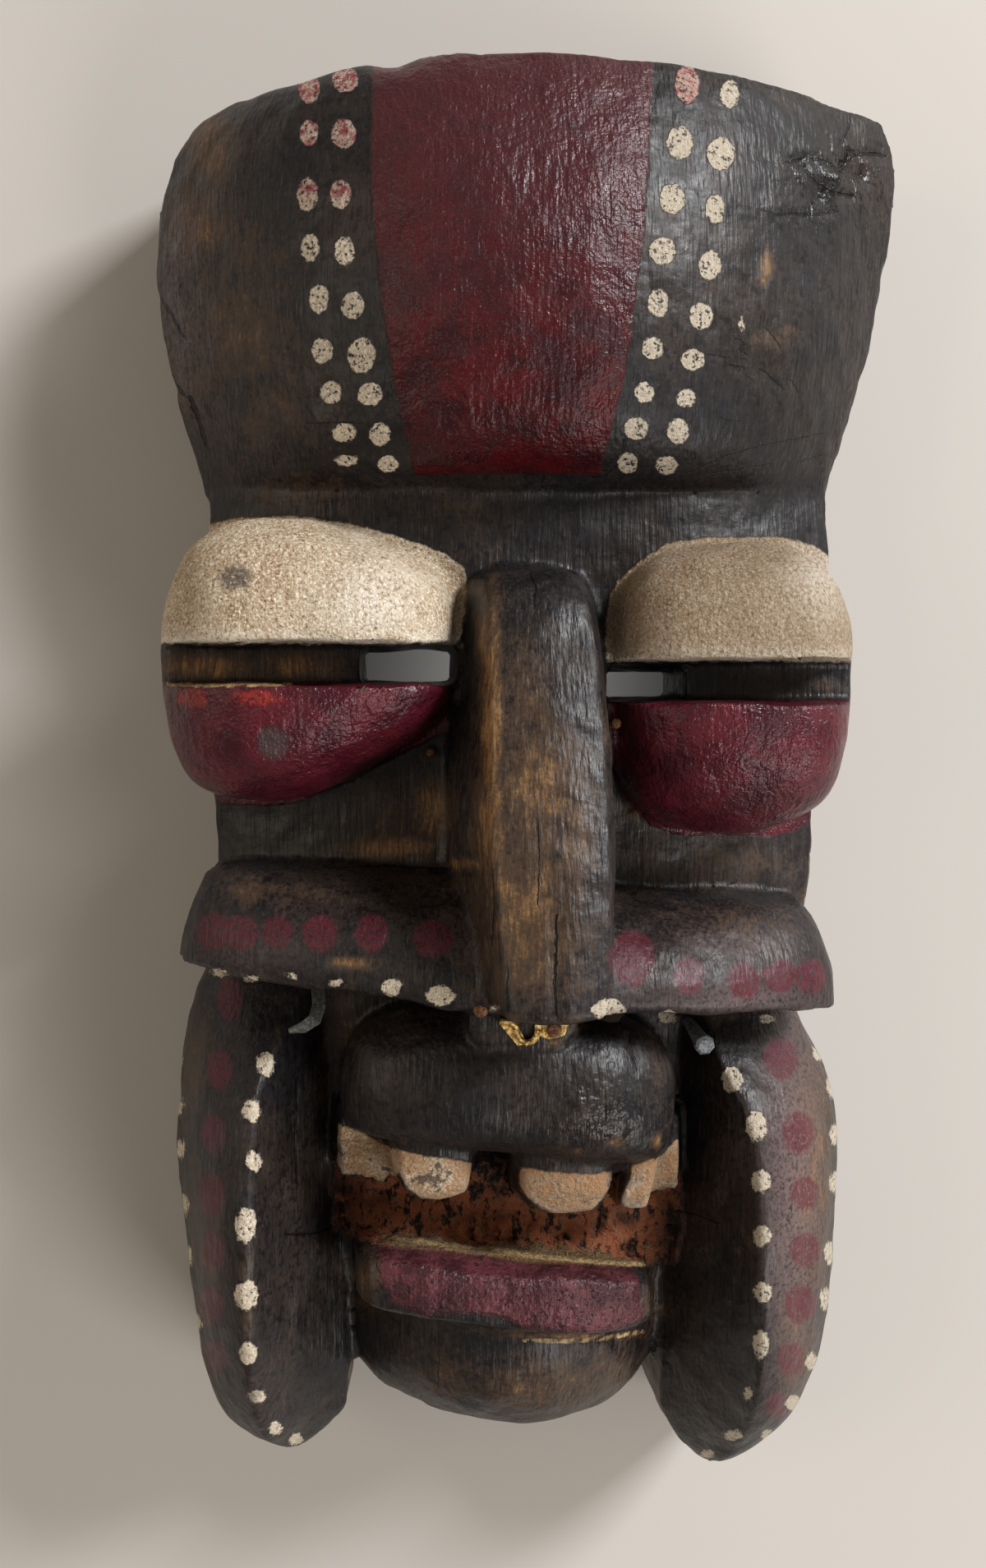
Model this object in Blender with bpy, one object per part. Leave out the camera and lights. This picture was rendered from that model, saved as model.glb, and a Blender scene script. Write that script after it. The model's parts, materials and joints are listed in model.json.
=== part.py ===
# Carved wooden face mask, lying on its hollow back with the face up.
# All sizes are in millimetres and become metres as each mesh is made.
# +X is the viewer's right, +Y runs towards the top of the forehead, +Z is the way the face looks.
import math

import bmesh
import bpy
import numpy as np
from mathutils import Vector

MM = 0.001

# Overall block of wood
MASK_WIDTH = 205.0
MASK_HEIGHT = 384.0
MASK_DEPTH = 122.0
WALL = 13.0
CUT_PAST = 6.0
TOP_Y = MASK_HEIGHT / 2
HALF_WIDTH = MASK_WIDTH / 2

# Width and height at which the places of the free carving were laid out
LAYOUT = (205.0, 384.0)


def across(x):
    """Place across the face, kept in proportion to the mask's width."""
    return x * MASK_WIDTH / LAYOUT[0]


def along(y):
    """Place up or down the face, kept in proportion to the mask's height."""
    return y * MASK_HEIGHT / LAYOUT[1]


# Forehead
FOREHEAD_HEIGHT = 103.5
FOREHEAD_CROWN = 100.0
FOREHEAD_SHOULDER = 41.0
FOREHEAD_FOOT_Y = TOP_Y - FOREHEAD_HEIGHT

# Flat face under the forehead, cheeks and floor of the mouth
BODY_WIDTH = 168.0
BODY_MIDDLE_X = -3.0
BROW_LEVEL = 70.0
CHEEK_LEVEL = 63.0
BODY_SHOULDER = 47.0
MOUTH_FLOOR_LEVEL = 60.0

# Eyes: each a bulb cut across by a slot, with a hole through the inner end of the slot
EYE_CREST = 99.0
EYE_WIDEST_LEVEL = 72.0
LEFT_EYE_WIDTH = 77.0
LEFT_EYE_HEIGHT = 72.0
RIGHT_EYE_WIDTH = 67.0
RIGHT_EYE_HEIGHT = 75.5
LEFT_EYE_OUTER_X = across(-97.5)
LEFT_EYE_INNER_X = LEFT_EYE_OUTER_X + LEFT_EYE_WIDTH
RIGHT_EYE_OUTER_X = across(83.0)
RIGHT_EYE_INNER_X = RIGHT_EYE_OUTER_X - RIGHT_EYE_WIDTH
LEFT_SLOT_Y = along(41.2)
RIGHT_SLOT_Y = along(36.8)
EYE_SLOT_HEIGHT = 10.4
EYE_SLOT_FLOOR = 79.0
LEFT_EYE_HOLE_HEIGHT = 9.2
RIGHT_EYE_HOLE_HEIGHT = 8.3
LEFT_EYE_HOLE_LENGTH = 24.0
RIGHT_EYE_HOLE_LENGTH = 20.0

# Nose
NOSE_LENGTH = 110.0
NOSE_WIDTH = 30.0
NOSE_TIP_LEVEL = MASK_DEPTH
NOSE_ROOT_LEVEL = 92.0
NOSE_FOOT_Y = along(-43.5)

# Bar across the face under the nose
BAR_LENGTH = 176.5
BAR_HEIGHT = 31.0
BAR_FRONT_LEVEL = 101.0

# Mouth
UPPER_LIP_WIDTH = 89.5
UPPER_LIP_HEIGHT = 40.0
UPPER_LIP_CREST = 94.0
UPPER_LIP_LEFT_X = across(-52.3)
UPPER_LIP_TOP_Y = NOSE_FOOT_Y - 6.5
LOWER_LIP_WIDTH = 79.0
LOWER_LIP_HEIGHT = 16.8
LOWER_LIP_FRONT = 85.0
LOWER_LIP_Y = along(-119.9)
LOWER_LIP_FALL = 9.2
TOOTH_BACK_LEVEL = 52.0
CHIN_WIDTH = 87.5
CHIN_FRONT = 80.0

# Cheek flaps: long ridges beside the mouth, from the bar down to the foot of the mask
LEFT_FLAP_TOP_Y = NOSE_FOOT_Y + 1.5
LEFT_FLAP_LIFT = 9.0
LEFT_FLAP_FOOT_Y = LEFT_FLAP_LIFT - TOP_Y
RIGHT_FLAP_TOP_Y = NOSE_FOOT_Y - 6.5
RIGHT_FLAP_FOOT_Y = -TOP_Y
FLAP_RIDGE_LEVEL = 85.0
FLAP_EDGE_LEVEL = 38.0

# Metal and fibre fittings
FIT_GAP = 0.3
PAD_LEVEL = 92.0
NAIL_HEAD_ACROSS = 3.9
NAIL_HEAD_THICKNESS = 1.3
NAIL_SHANK_ACROSS = 1.9
NAIL_SHANK_LENGTH = 14.0
WIRE_THICKNESS = 1.7
PLATE_THICKNESS = 0.9
SIDE_NAIL_HEAD_ACROSS = 2.8
SIDE_NAIL_SHANK_ACROSS = 1.4
SIDE_NAIL_SHANK_LENGTH = 9.0
PEG_ACROSS = 5.6
PEG_STAND_OUT = 5.0
PEG_DEPTH = 12.0
STRIP_WIDTH = 3.4
STRIP_THICKNESS = 1.4


def new_collection(title):
    collection = bpy.data.collections.new(title)
    bpy.context.scene.collection.children.link(collection)
    return collection


def make_object(title, rings, collection):
    """Skin a row of closed rings, each with the same number of points, and close both ends."""
    mesh = bpy.data.meshes.new(title)
    shape = bmesh.new()
    rows = [[shape.verts.new(Vector(point) * MM) for point in ring] for ring in rings]
    around = len(rows[0])
    for lower, upper in zip(rows, rows[1:]):
        for i in range(around):
            j = (i + 1) % around
            shape.faces.new((lower[i], lower[j], upper[j], upper[i]))
    shape.faces.new(rows[0])
    shape.faces.new(rows[-1])
    bmesh.ops.recalc_face_normals(shape, faces=shape.faces)
    bmesh.ops.triangulate(shape, faces=shape.faces)
    shape.to_mesh(mesh)
    shape.free()
    made = bpy.data.objects.new(title, mesh)
    collection.objects.link(made)
    return made


def cut_or_join(target, other, operation):
    """Run one exact boolean on the target and bake it into its mesh."""
    step = target.modifiers.new(operation.lower(), "BOOLEAN")
    step.operation = operation
    step.solver = "EXACT"
    step.object = other
    bpy.context.view_layer.update()
    graph = bpy.context.evaluated_depsgraph_get()
    result = bpy.data.meshes.new_from_object(target.evaluated_get(graph))
    target.modifiers.remove(step)
    old = target.data
    target.data = result
    bpy.data.meshes.remove(old)


def join_all(target, others):
    for other in others:
        cut_or_join(target, other, "UNION")


def cut_all(target, others):
    for other in others:
        cut_or_join(target, other, "DIFFERENCE")


def arch_ring(y, left, right, low, shoulder, crown, tuck=3.0, steps=15, power=2.3,
              right_power=None):
    """Section of a half log: straight sides up to the shoulder, then a flattened arch. The
    power sets how full the arch is, and its right half can have one of its own."""
    middle = (left + right) / 2
    half = (right - left) / 2
    ring = [(left + tuck, y, low)]
    for turn in np.linspace(-math.pi / 2, math.pi / 2, steps):
        across = math.sin(turn)
        rise = 1 - abs(across) ** (right_power if right_power and across > 0 else power)
        ring.append((middle + half * across, y, shoulder + (crown - shoulder) * rise))
    ring.append((right - tuck, y, low))
    return ring


def round_outline(points, count):
    """Closed curve through a few points, sampled evenly by its own parameter."""
    points = np.array(points, float)
    total = len(points)
    samples = []
    for place in np.linspace(0, total, count, endpoint=False):
        i = int(place)
        t = place - i
        a, b, c, d = (points[(i + k) % total] for k in (-1, 0, 1, 2))
        samples.append(0.5 * (2 * b + (c - a) * t + (2 * a - 5 * b + 4 * c - d) * t ** 2
                              + (3 * b - a - 3 * c + d) * t ** 3))
    return np.array(samples)


def dome_rings(outline, middle, base, widest, crest, levels=6, power=2.6, tuck=1.0):
    """Rings that rise straight to the widest level, then close in over a dome."""
    rings = []
    middle = np.array(middle)
    rises = [(base, tuck), (widest, 1.0)]
    for k in range(1, levels):
        up = math.sin(k / levels * math.pi / 2)
        inward = (1 - up ** power) ** (1 / power)
        rises.append((widest + (crest - widest) * up, inward))
    for level, share in rises:
        plan = middle + (outline - middle) * share
        rings.append([(x, y, level) for x, y in plan])
    return rings


def block_rings(x0, x1, y0, y1, z0, z1, corner=0.0):
    """Two rings of an upright block, with its four upright corners cut off."""
    plan = [(x0 + corner, y0), (x1 - corner, y0), (x1, y0 + corner), (x1, y1 - corner),
            (x1 - corner, y1), (x0 + corner, y1), (x0, y1 - corner), (x0, y0 + corner)]
    if corner == 0:
        plan = [(x0, y0), (x1, y0), (x1, y1), (x0, y1)]
    return [[(x, y, z0) for x, y in plan], [(x, y, z1) for x, y in plan]]


def round_post(title, centre, direction, stations, collection, sides=16):
    """Round turned piece along a direction; stations are (distance, radius)."""
    turn = Vector(direction).normalized().to_track_quat("Z", "X").to_matrix()
    rings = []
    for distance, radius in stations:
        ring = []
        for i in range(sides):
            angle = 2 * math.pi * (i + 0.5) / sides
            local = Vector((radius * math.cos(angle), radius * math.sin(angle), distance))
            ring.append(tuple(Vector(centre) + turn @ local))
        rings.append(ring)
    return make_object(title, rings, collection)


# Forehead: the upper end of the half log, swelling forward, sawn straight across at the top

def build_forehead(collection):
    # Shares: height up the forehead, left and right side of half the width, shoulder and crown,
    # then how full the arch is on its left and on its right
    stations = [
        (-0.02, -0.870, 0.812, 1.05, 0.700, 2.4, 2.4),
        (0.000, -0.874, 0.818, 1.06, 0.745, 2.4, 2.4),
        (0.035, -0.876, 0.826, 1.06, 0.860, 2.4, 2.4),
        (0.110, -0.894, 0.854, 1.05, 0.935, 2.3, 2.3),
        (0.240, -0.928, 0.894, 1.02, 0.975, 2.3, 2.2),
        (0.380, -0.976, 0.938, 0.98, 1.000, 2.3, 2.1),
        (0.550, -1.000, 0.974, 0.97, 1.000, 2.3, 2.0),
        (0.710, -0.985, 0.992, 0.99, 0.975, 2.4, 1.9),
        (0.850, -0.946, 1.000, 1.02, 0.935, 2.4, 1.75),
        (0.940, -0.892, 0.981, 1.06, 0.900, 2.5, 1.65),
        (0.985, -0.815, 0.955, 1.09, 0.872, 2.5, 1.6),
        (1.000, -0.765, 0.920, 1.10, 0.855, 2.5, 1.6),
    ]
    rings = [arch_ring(FOREHEAD_FOOT_Y + FOREHEAD_HEIGHT * up, HALF_WIDTH * left,
                       HALF_WIDTH * right, 0.0, FOREHEAD_SHOULDER * shoulder,
                       FOREHEAD_CROWN * crown, steps=21, power=full_left, right_power=full_right)
             for up, left, right, shoulder, crown, full_left, full_right in stations]
    return make_object("forehead", rings, collection)


# Body: the flat brow band, the cheeks and the floor of the mouth

def build_body(collection):
    half = BODY_WIDTH / 2
    left = BODY_MIDDLE_X - half
    right = BODY_MIDDLE_X + half
    # Up the face: place, left side in, right side in, shoulder level, crown level
    stations = [
        (along(-152), 38, 45, 40, MOUTH_FLOOR_LEVEL - 4),
        (along(-112), 30, 34, 50, MOUTH_FLOOR_LEVEL),
        (along(-58), 24, 30, 54, MOUTH_FLOOR_LEVEL),
        (along(-48), 4, 6, BODY_SHOULDER, CHEEK_LEVEL - 1),
        (along(-10), 0.5, 1, BODY_SHOULDER - 1, CHEEK_LEVEL),
        (along(14), 0, 0, BODY_SHOULDER - 1, CHEEK_LEVEL + 1),
        (along(52), -0.6, -2, BODY_SHOULDER + 1, BROW_LEVEL - 1),
        (FOREHEAD_FOOT_Y - 12.5, -1.2, -3, BODY_SHOULDER + 1, BROW_LEVEL),
        (FOREHEAD_FOOT_Y + 5, -0.5, -1.5, BODY_SHOULDER - 1, BROW_LEVEL - 1),
    ]
    rings = [arch_ring(y, left + inward_left, right - inward_right, 0.0, shoulder, crown,
                       steps=15, power=2.8)
             for y, inward_left, inward_right, shoulder, crown in stations]
    return make_object("body", rings, collection)


# Eyes: heavy upper and lower lids carved as one bulb that stands past the side of the face

def build_left_eye(collection):
    outer = LEFT_EYE_OUTER_X
    foot = LEFT_SLOT_Y - LEFT_EYE_HEIGHT * 0.493
    # Shares of the width and height, from the outer end round by the top
    shares = [(0, 0.50), (0.02, 0.71), (0.10, 0.92), (0.29, 1.0), (0.55, 0.99), (0.80, 0.91),
              (0.96, 0.80), (1.0, 0.58), (0.98, 0.34), (0.72, 0.135), (0.51, 0.025),
              (0.28, 0), (0.10, 0.07), (0.015, 0.25)]
    points = [(outer + LEFT_EYE_WIDTH * u, foot + LEFT_EYE_HEIGHT * v) for u, v in shares]
    outline = round_outline(points, 30)
    middle = (outer + LEFT_EYE_WIDTH * 0.50, foot + LEFT_EYE_HEIGHT * 0.49)
    rings = dome_rings(outline, middle, 40, EYE_WIDEST_LEVEL - 8, EYE_CREST, tuck=0.90)
    return make_object("left_eye", rings, collection)


def build_right_eye(collection):
    outer = RIGHT_EYE_OUTER_X
    foot = RIGHT_SLOT_Y - RIGHT_EYE_HEIGHT * 0.5245
    shares = [(0, 0.62), (0.01, 0.74), (0.09, 0.915), (0.25, 0.995), (0.55, 1.0), (0.82, 0.94),
              (0.955, 0.79), (1.0, 0.60), (0.97, 0.33), (0.865, 0.09), (0.61, 0.0),
              (0.31, 0.01), (0.10, 0.09), (0.025, 0.30)]
    points = [(outer - RIGHT_EYE_WIDTH * u, foot + RIGHT_EYE_HEIGHT * v) for u, v in shares]
    outline = round_outline(points, 30)
    middle = (outer - RIGHT_EYE_WIDTH * 0.50, foot + RIGHT_EYE_HEIGHT * 0.52)
    rings = dome_rings(outline, middle, 40, EYE_WIDEST_LEVEL - 8, EYE_CREST, tuck=0.92)
    return make_object("right_eye", rings, collection)


def build_eye_cutters(collection):
    """Slots run out past the side of each eye; the holes leave a small step in the slot."""
    slot_half = EYE_SLOT_HEIGHT / 2
    top = EYE_CREST + CUT_PAST
    past_side = 12.5
    step = 0.2
    left_inner = LEFT_EYE_INNER_X - 1.3
    right_inner = RIGHT_EYE_INNER_X + 1.2
    left_foot = LEFT_SLOT_Y - slot_half + step
    right_foot = RIGHT_SLOT_Y - slot_half + step
    hole_levels = (-CUT_PAST, EYE_SLOT_FLOOR + CUT_PAST)
    named = {
        "left_slot": block_rings(LEFT_EYE_OUTER_X - past_side, LEFT_EYE_INNER_X,
                                 LEFT_SLOT_Y - slot_half, LEFT_SLOT_Y + slot_half,
                                 EYE_SLOT_FLOOR, top),
        "left_hole": block_rings(left_inner - LEFT_EYE_HOLE_LENGTH, left_inner, left_foot,
                                 left_foot + LEFT_EYE_HOLE_HEIGHT, *hole_levels),
        "right_slot": block_rings(RIGHT_EYE_INNER_X + 0.5, RIGHT_EYE_OUTER_X + past_side,
                                  RIGHT_SLOT_Y - slot_half, RIGHT_SLOT_Y + slot_half,
                                  EYE_SLOT_FLOOR, top),
        "right_hole": block_rings(right_inner, right_inner + RIGHT_EYE_HOLE_LENGTH, right_foot,
                                  right_foot + RIGHT_EYE_HOLE_HEIGHT, *hole_levels),
    }
    return [make_object(title, rings, collection) for title, rings in named.items()]


# Nose: a long wedge, widest and furthest forward at its square-cut tip

def nose_ring(y, foot_left, foot_right, front_left, front_right, front):
    """Nose section: flared feet, leaning sides, cut corners and a slightly bulging front."""
    back = 45.0
    corner = 3.5
    side = front - corner
    bulge = 1.4
    third = (front_right - front_left) / 3
    return [
        (foot_left, y, back), (foot_left, y, CHEEK_LEVEL - 2),
        ((foot_left + front_left) / 2 - 0.6, y, (CHEEK_LEVEL + side) / 2),
        (front_left, y, side),
        (front_left + corner * 0.35, y, front - 0.9),
        (front_left + corner * 1.2, y, front),
        (front_left + third * 1.1, y, front + bulge * 0.9),
        (front_right - third * 1.1, y, front + bulge * 0.9),
        (front_right - corner * 1.2, y, front),
        (front_right - corner * 0.35, y, front - 0.9),
        (front_right, y, side),
        ((foot_right + front_right) / 2 + 0.6, y, (CHEEK_LEVEL + side) / 2),
        (foot_right, y, CHEEK_LEVEL - 2), (foot_right, y, back),
    ]


def build_nose(collection):
    half = NOSE_WIDTH / 2
    middle = -0.6
    rise = NOSE_TIP_LEVEL - 1.3 - NOSE_ROOT_LEVEL
    # Shares down the nose: distance, foot left, foot right, front left, front right, front level
    stations = [
        (0.000, -1.08, 0.75, -0.72, 0.30, -0.62),
        (0.030, -1.25, 0.98, -0.92, 0.58, -0.20),
        (0.080, -1.32, 1.10, -0.99, 0.80, 0.00),
        (0.180, -1.38, 1.20, -1.00, 0.92, 0.16),
        (0.330, -1.50, 1.26, -1.01, 0.98, 0.33),
        (0.520, -1.58, 1.28, -1.00, 1.00, 0.55),
        (0.700, -1.58, 1.28, -0.98, 1.00, 0.75),
        (0.840, -1.54, 1.24, -0.94, 1.00, 0.89),
        (0.940, -1.42, 1.18, -0.86, 0.94, 0.97),
        (0.985, -1.34, 1.12, -0.80, 0.88, 1.00),
        (1.000, -1.28, 1.06, -0.72, 0.80, 0.96),
    ]
    rings = [nose_ring(NOSE_FOOT_Y + NOSE_LENGTH * (1 - down), middle + half * foot_left,
                       middle + half * foot_right, middle + half * front_left,
                       middle + half * front_right, NOSE_ROOT_LEVEL + rise * front)
             for down, foot_left, foot_right, front_left, front_right, front in stations]
    return make_object("nose", rings, collection)


# Bar: a wide shelf across the face under the nose, with an undercut lower edge

def bar_ring(x, top, foot, front, back):
    """Bar section: sloping convex top, blunt front and an undercut lower side."""
    height = top - foot
    depth = front - CHEEK_LEVEL
    return [
        (x, foot + 2.5, back), (x, foot + 0.6, front - depth * 0.5 - 3),
        (x, foot, front - 4.0), (x, foot + 1.2, front - 1.2), (x, foot + 3.4, front),
        (x, foot + height * 0.30, front - depth * 0.02),
        (x, foot + height * 0.52, front - depth * 0.12),
        (x, foot + height * 0.74, front - depth * 0.33),
        (x, foot + height * 0.90, front - depth * 0.63),
        (x, top, CHEEK_LEVEL - 3 - (BAR_FRONT_LEVEL - front) * 0.08), (x, top, back),
    ]


def build_bar(collection):
    middle = across(-6.2)
    half = BAR_LENGTH / 2
    # Along the bar: share of half its length, top as a share of its height and foot, both from
    # the foot of the nose, front as a share of its front level, back
    stations = [
        (-1.00, 0.323, 6.6, 0.64, 54), (-0.975, 0.613, 5.4, 0.67, 50),
        (-0.93, 0.935, 4.6, 0.71, 45), (-0.83, 1.019, 3.6, 0.765, 42),
        (-0.68, 1.026, 3.2, 0.84, 42), (-0.46, 1.032, 1.6, 0.92, 42),
        (-0.22, 1.026, -1.8, 0.98, 42), (0.05, 0.968, -3.6, 1.0, 42),
        (0.24, 0.858, -3.8, 0.99, 42), (0.42, 0.787, -3.6, 0.955, 42),
        (0.62, 0.748, -5.2, 0.895, 42), (0.78, 0.716, -6.4, 0.83, 42),
        (0.90, 0.645, -7.4, 0.76, 43), (0.965, 0.355, -8.6, 0.71, 47),
        (1.00, -0.032, -9.6, 0.67, 54),
    ]
    rings = [bar_ring(middle + half * share, NOSE_FOOT_Y + BAR_HEIGHT * top, NOSE_FOOT_Y + foot,
                      BAR_FRONT_LEVEL * front, back)
             for share, top, foot, front, back in stations]
    return make_object("bar", rings, collection)


# Mouth: a bulging upper lip, five teeth, a flat-topped lower lip and a rounded chin

def build_upper_lip(collection):
    shares = [(0.0, 0.50), (0.02, 0.74), (0.11, 0.80), (0.28, 0.87), (0.50, 0.91), (0.72, 0.985),
              (0.90, 1.0), (0.98, 0.93), (1.0, 0.62), (0.985, 0.34), (0.90, 0.10), (0.62, -0.06),
              (0.35, -0.06), (0.10, 0.05), (0.02, 0.25)]
    points = [(UPPER_LIP_LEFT_X + UPPER_LIP_WIDTH * u, UPPER_LIP_TOP_Y - UPPER_LIP_HEIGHT * v)
              for u, v in shares]
    outline = round_outline(points, 32)
    middle = (UPPER_LIP_LEFT_X + UPPER_LIP_WIDTH * 0.50,
              UPPER_LIP_TOP_Y - UPPER_LIP_HEIGHT * 0.52)
    rings = dome_rings(outline, middle, 45, 70, UPPER_LIP_CREST, power=2.4, tuck=0.93)
    return make_object("upper_lip", rings, collection)


def tooth(title, left, right, top, foot, front, lean, collection):
    """One tooth, tapering to a rounded lower end; lean shifts that end sideways."""
    middle = (left + right) / 2
    half = (right - left) / 2
    rings = []
    for down, narrow, shallow in [(0, 1, 0), (0.55, 1, 0), (0.82, 0.95, 1.2), (0.95, 0.80, 3.5),
                                  (1.0, 0.60, 7.0)]:
        y = top + (foot - top) * down
        x = middle + lean * down
        face = front - shallow
        wide = half * narrow
        rings.append([(x - wide, y, TOOTH_BACK_LEVEL), (x - wide, y, face - 4.5),
                      (x - wide * 0.82, y, face - 1.4), (x - wide * 0.45, y, face),
                      (x + wide * 0.45, y, face), (x + wide * 0.82, y, face - 1.4),
                      (x + wide, y, face - 4.5), (x + wide, y, TOOTH_BACK_LEVEL)])
    return make_object(title, rings, collection)


def build_teeth(collection):
    # Left and right side as shares of the upper lip, top and foot below the lip's top, front
    # as a share of the lip's crest, lean
    rows = [
        (-0.019, 0.166, 26.0, 46.5, 0.745, -0.5),
        (0.151, 0.390, 26.0, 48.2, 0.894, 0.6),
        (0.508, 0.792, 30.0, 52.6, 0.888, 0.0),
        (0.825, 0.949, 30.0, 54.8, 0.830, -1.2),
        (0.914, 1.026, 30.0, 51.8, 0.750, 0.4),
    ]
    return [tooth("tooth_%d" % number, UPPER_LIP_LEFT_X + UPPER_LIP_WIDTH * left,
                  UPPER_LIP_LEFT_X + UPPER_LIP_WIDTH * right, UPPER_LIP_TOP_Y - top,
                  UPPER_LIP_TOP_Y - foot, UPPER_LIP_CREST * front, lean, collection)
            for number, (left, right, top, foot, front, lean) in enumerate(rows)]


def build_lower_lip(collection):
    left = across(-48.5)
    # Share along the lip, lift of its middle, fullness, front as a share of the front level
    stations = [(0.00, -0.4, 0.70, 0.86), (0.05, 0.3, 0.93, 0.94), (0.25, 0.2, 1.0, 0.985),
                (0.50, 0.0, 1.0, 1.0), (0.75, -0.2, 1.0, 0.985), (0.94, 0.2, 0.93, 0.93),
                (1.00, 0.6, 0.72, 0.88)]
    rings = []
    for share, lift, fullness, front_share in stations:
        x = left + LOWER_LIP_WIDTH * share
        middle = LOWER_LIP_Y - LOWER_LIP_FALL * share + lift
        half = LOWER_LIP_HEIGHT / 2 * fullness
        front = LOWER_LIP_FRONT * front_share
        rings.append([(x, middle - half, 45), (x, middle - half, front - 3.5),
                      (x, middle - half * 0.80, front - 0.9), (x, middle - half * 0.30, front),
                      (x, middle + half * 0.40, front - 0.3),
                      (x, middle + half * 0.82, front - 1.8),
                      (x, middle + half, front - 4.8), (x, middle + half - 0.5, 45)])
    return make_object("lower_lip", rings, collection)


def build_chin(collection):
    left = across(-50.0)
    # Down the chin: place, left and right side as shares of its width, back, shoulder, front
    stations = [
        (-118, 0.06, 0.92, 0, 50, 0.90), (-128, 0.03, 0.96, 0, 50, 0.965),
        (-136, 0.01, 0.98, 0, 48, 1.000), (-146, 0.00, 1.00, 0, 44, 0.990),
        (-154, 0.01, 0.99, 2, 41, 0.945), (-161, 0.06, 0.965, 9, 39, 0.870),
        (-166.5, 0.16, 0.90, 17, 38, 0.780), (-170.5, 0.36, 0.76, 27, 38, 0.660),
    ]
    rings = [arch_ring(along(y), left + CHIN_WIDTH * a, left + CHIN_WIDTH * b, low, shoulder,
                       CHIN_FRONT * front, tuck=2.0, steps=13)
             for y, a, b, low, shoulder, front in stations]
    return make_object("chin", rings, collection)


# Cheek flaps: a long blade on each side of the mouth, ridged along its front

def flap_ring(y, outer, ridge, level, inner, inner_level, low, edge):
    """Flap section: outer edge, convex outer face, ridge, then a straight inner face."""
    toward = (ridge - outer) / abs(ridge - outer)
    span = abs(ridge - outer)
    return [
        (outer + toward * 3.5, y, low), (outer, y, edge),
        (outer + toward * span * 0.12, y, edge + (level - edge) * 0.32),
        (outer + toward * span * 0.38, y, edge + (level - edge) * 0.66),
        (outer + toward * span * 0.72, y, edge + (level - edge) * 0.90),
        (ridge - toward * 1.2, y, level - 0.4), (ridge + toward * 1.0, y, level - 0.8),
        ((ridge * 2 + inner) / 3, y, (level * 2 + inner_level) / 3 - 1.2),
        ((ridge + inner * 2) / 3, y, (level + inner_level * 2) / 3 - 1.0),
        (inner, y, inner_level), (inner, y, low),
    ]


def flap_rings(stations, top, foot):
    """Sections down a flap. A station holds its share of the length, outer edge, ridge, ridge
    level as a share, inner edge and its level, back, and edge level as a share."""
    return [flap_ring(top + (foot - top) * down, across(outer), across(ridge),
                      FLAP_RIDGE_LEVEL * level, across(inner), inner_level, low,
                      FLAP_EDGE_LEVEL * edge)
            for down, outer, ridge, level, inner, inner_level, low, edge in stations]


def build_left_flap(collection):
    stations = [
        (0.000, -91.0, -62.0, 0.72, -50.5, 50, 0, 1.00),
        (0.075, -95.5, -66.0, 0.80, -51.5, 50, 0, 1.00),
        (0.140, -97.4, -71.0, 0.89, -52.0, 50, 0, 1.00),
        (0.215, -98.1, -74.4, 0.955, -52.0, 50, 0, 1.00),
        (0.320, -98.3, -75.4, 0.990, -52.0, 50, 0, 1.00),
        (0.440, -97.8, -76.0, 1.000, -52.0, 50, 0, 1.00),
        (0.560, -96.4, -76.2, 0.985, -51.4, 49, 0, 1.00),
        (0.680, -95.0, -76.2, 0.930, -50.8, 48, 0, 1.00),
        (0.790, -92.4, -75.6, 0.850, -50.4, 46, 0, 1.00),
        (0.865, -89.4, -74.2, 0.760, -51.2, 43, 2, 0.98),
        (0.920, -85.2, -72.2, 0.670, -53.6, 40, 6, 0.95),
        (0.965, -79.0, -69.2, 0.570, -57.6, 36, 12, 0.88),
        (1.000, -70.5, -66.6, 0.450, -62.6, 33, 20, 0.80),
    ]
    rings = flap_rings(stations, LEFT_FLAP_TOP_Y, LEFT_FLAP_FOOT_Y)
    return make_object("left_flap", rings, collection)


def build_right_flap(collection):
    stations = [
        (0.000, 76.0, 46.0, 0.72, 36.0, 50, 0, 1.00),
        (0.075, 80.5, 47.6, 0.82, 37.0, 50, 0, 1.00),
        (0.130, 84.8, 50.8, 0.895, 37.5, 50, 0, 1.00),
        (0.190, 88.2, 55.4, 0.950, 37.7, 50, 0, 1.00),
        (0.280, 90.2, 57.6, 0.990, 38.0, 50, 0, 1.00),
        (0.400, 90.0, 57.9, 1.010, 38.0, 50, 0, 1.00),
        (0.550, 89.0, 58.5, 0.995, 38.0, 49, 0, 1.00),
        (0.670, 87.5, 59.4, 0.935, 38.0, 48, 0, 1.00),
        (0.760, 85.6, 59.5, 0.865, 37.8, 46, 0, 1.00),
        (0.825, 82.6, 59.3, 0.780, 38.0, 44, 0, 1.00),
        (0.885, 78.4, 58.4, 0.680, 40.0, 41, 2, 0.99),
        (0.935, 73.6, 57.4, 0.590, 43.4, 38, 6, 0.96),
        (0.975, 65.6, 56.0, 0.510, 47.6, 35, 12, 0.92),
        (1.000, 57.4, 54.2, 0.450, 51.4, 33, 20, 0.90),
    ]
    rings = flap_rings(stations, RIGHT_FLAP_TOP_Y, RIGHT_FLAP_FOOT_Y)
    return make_object("right_flap", rings, collection)


# Hollow: the back is dug out behind the whole face, leaving a wall all round

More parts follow.
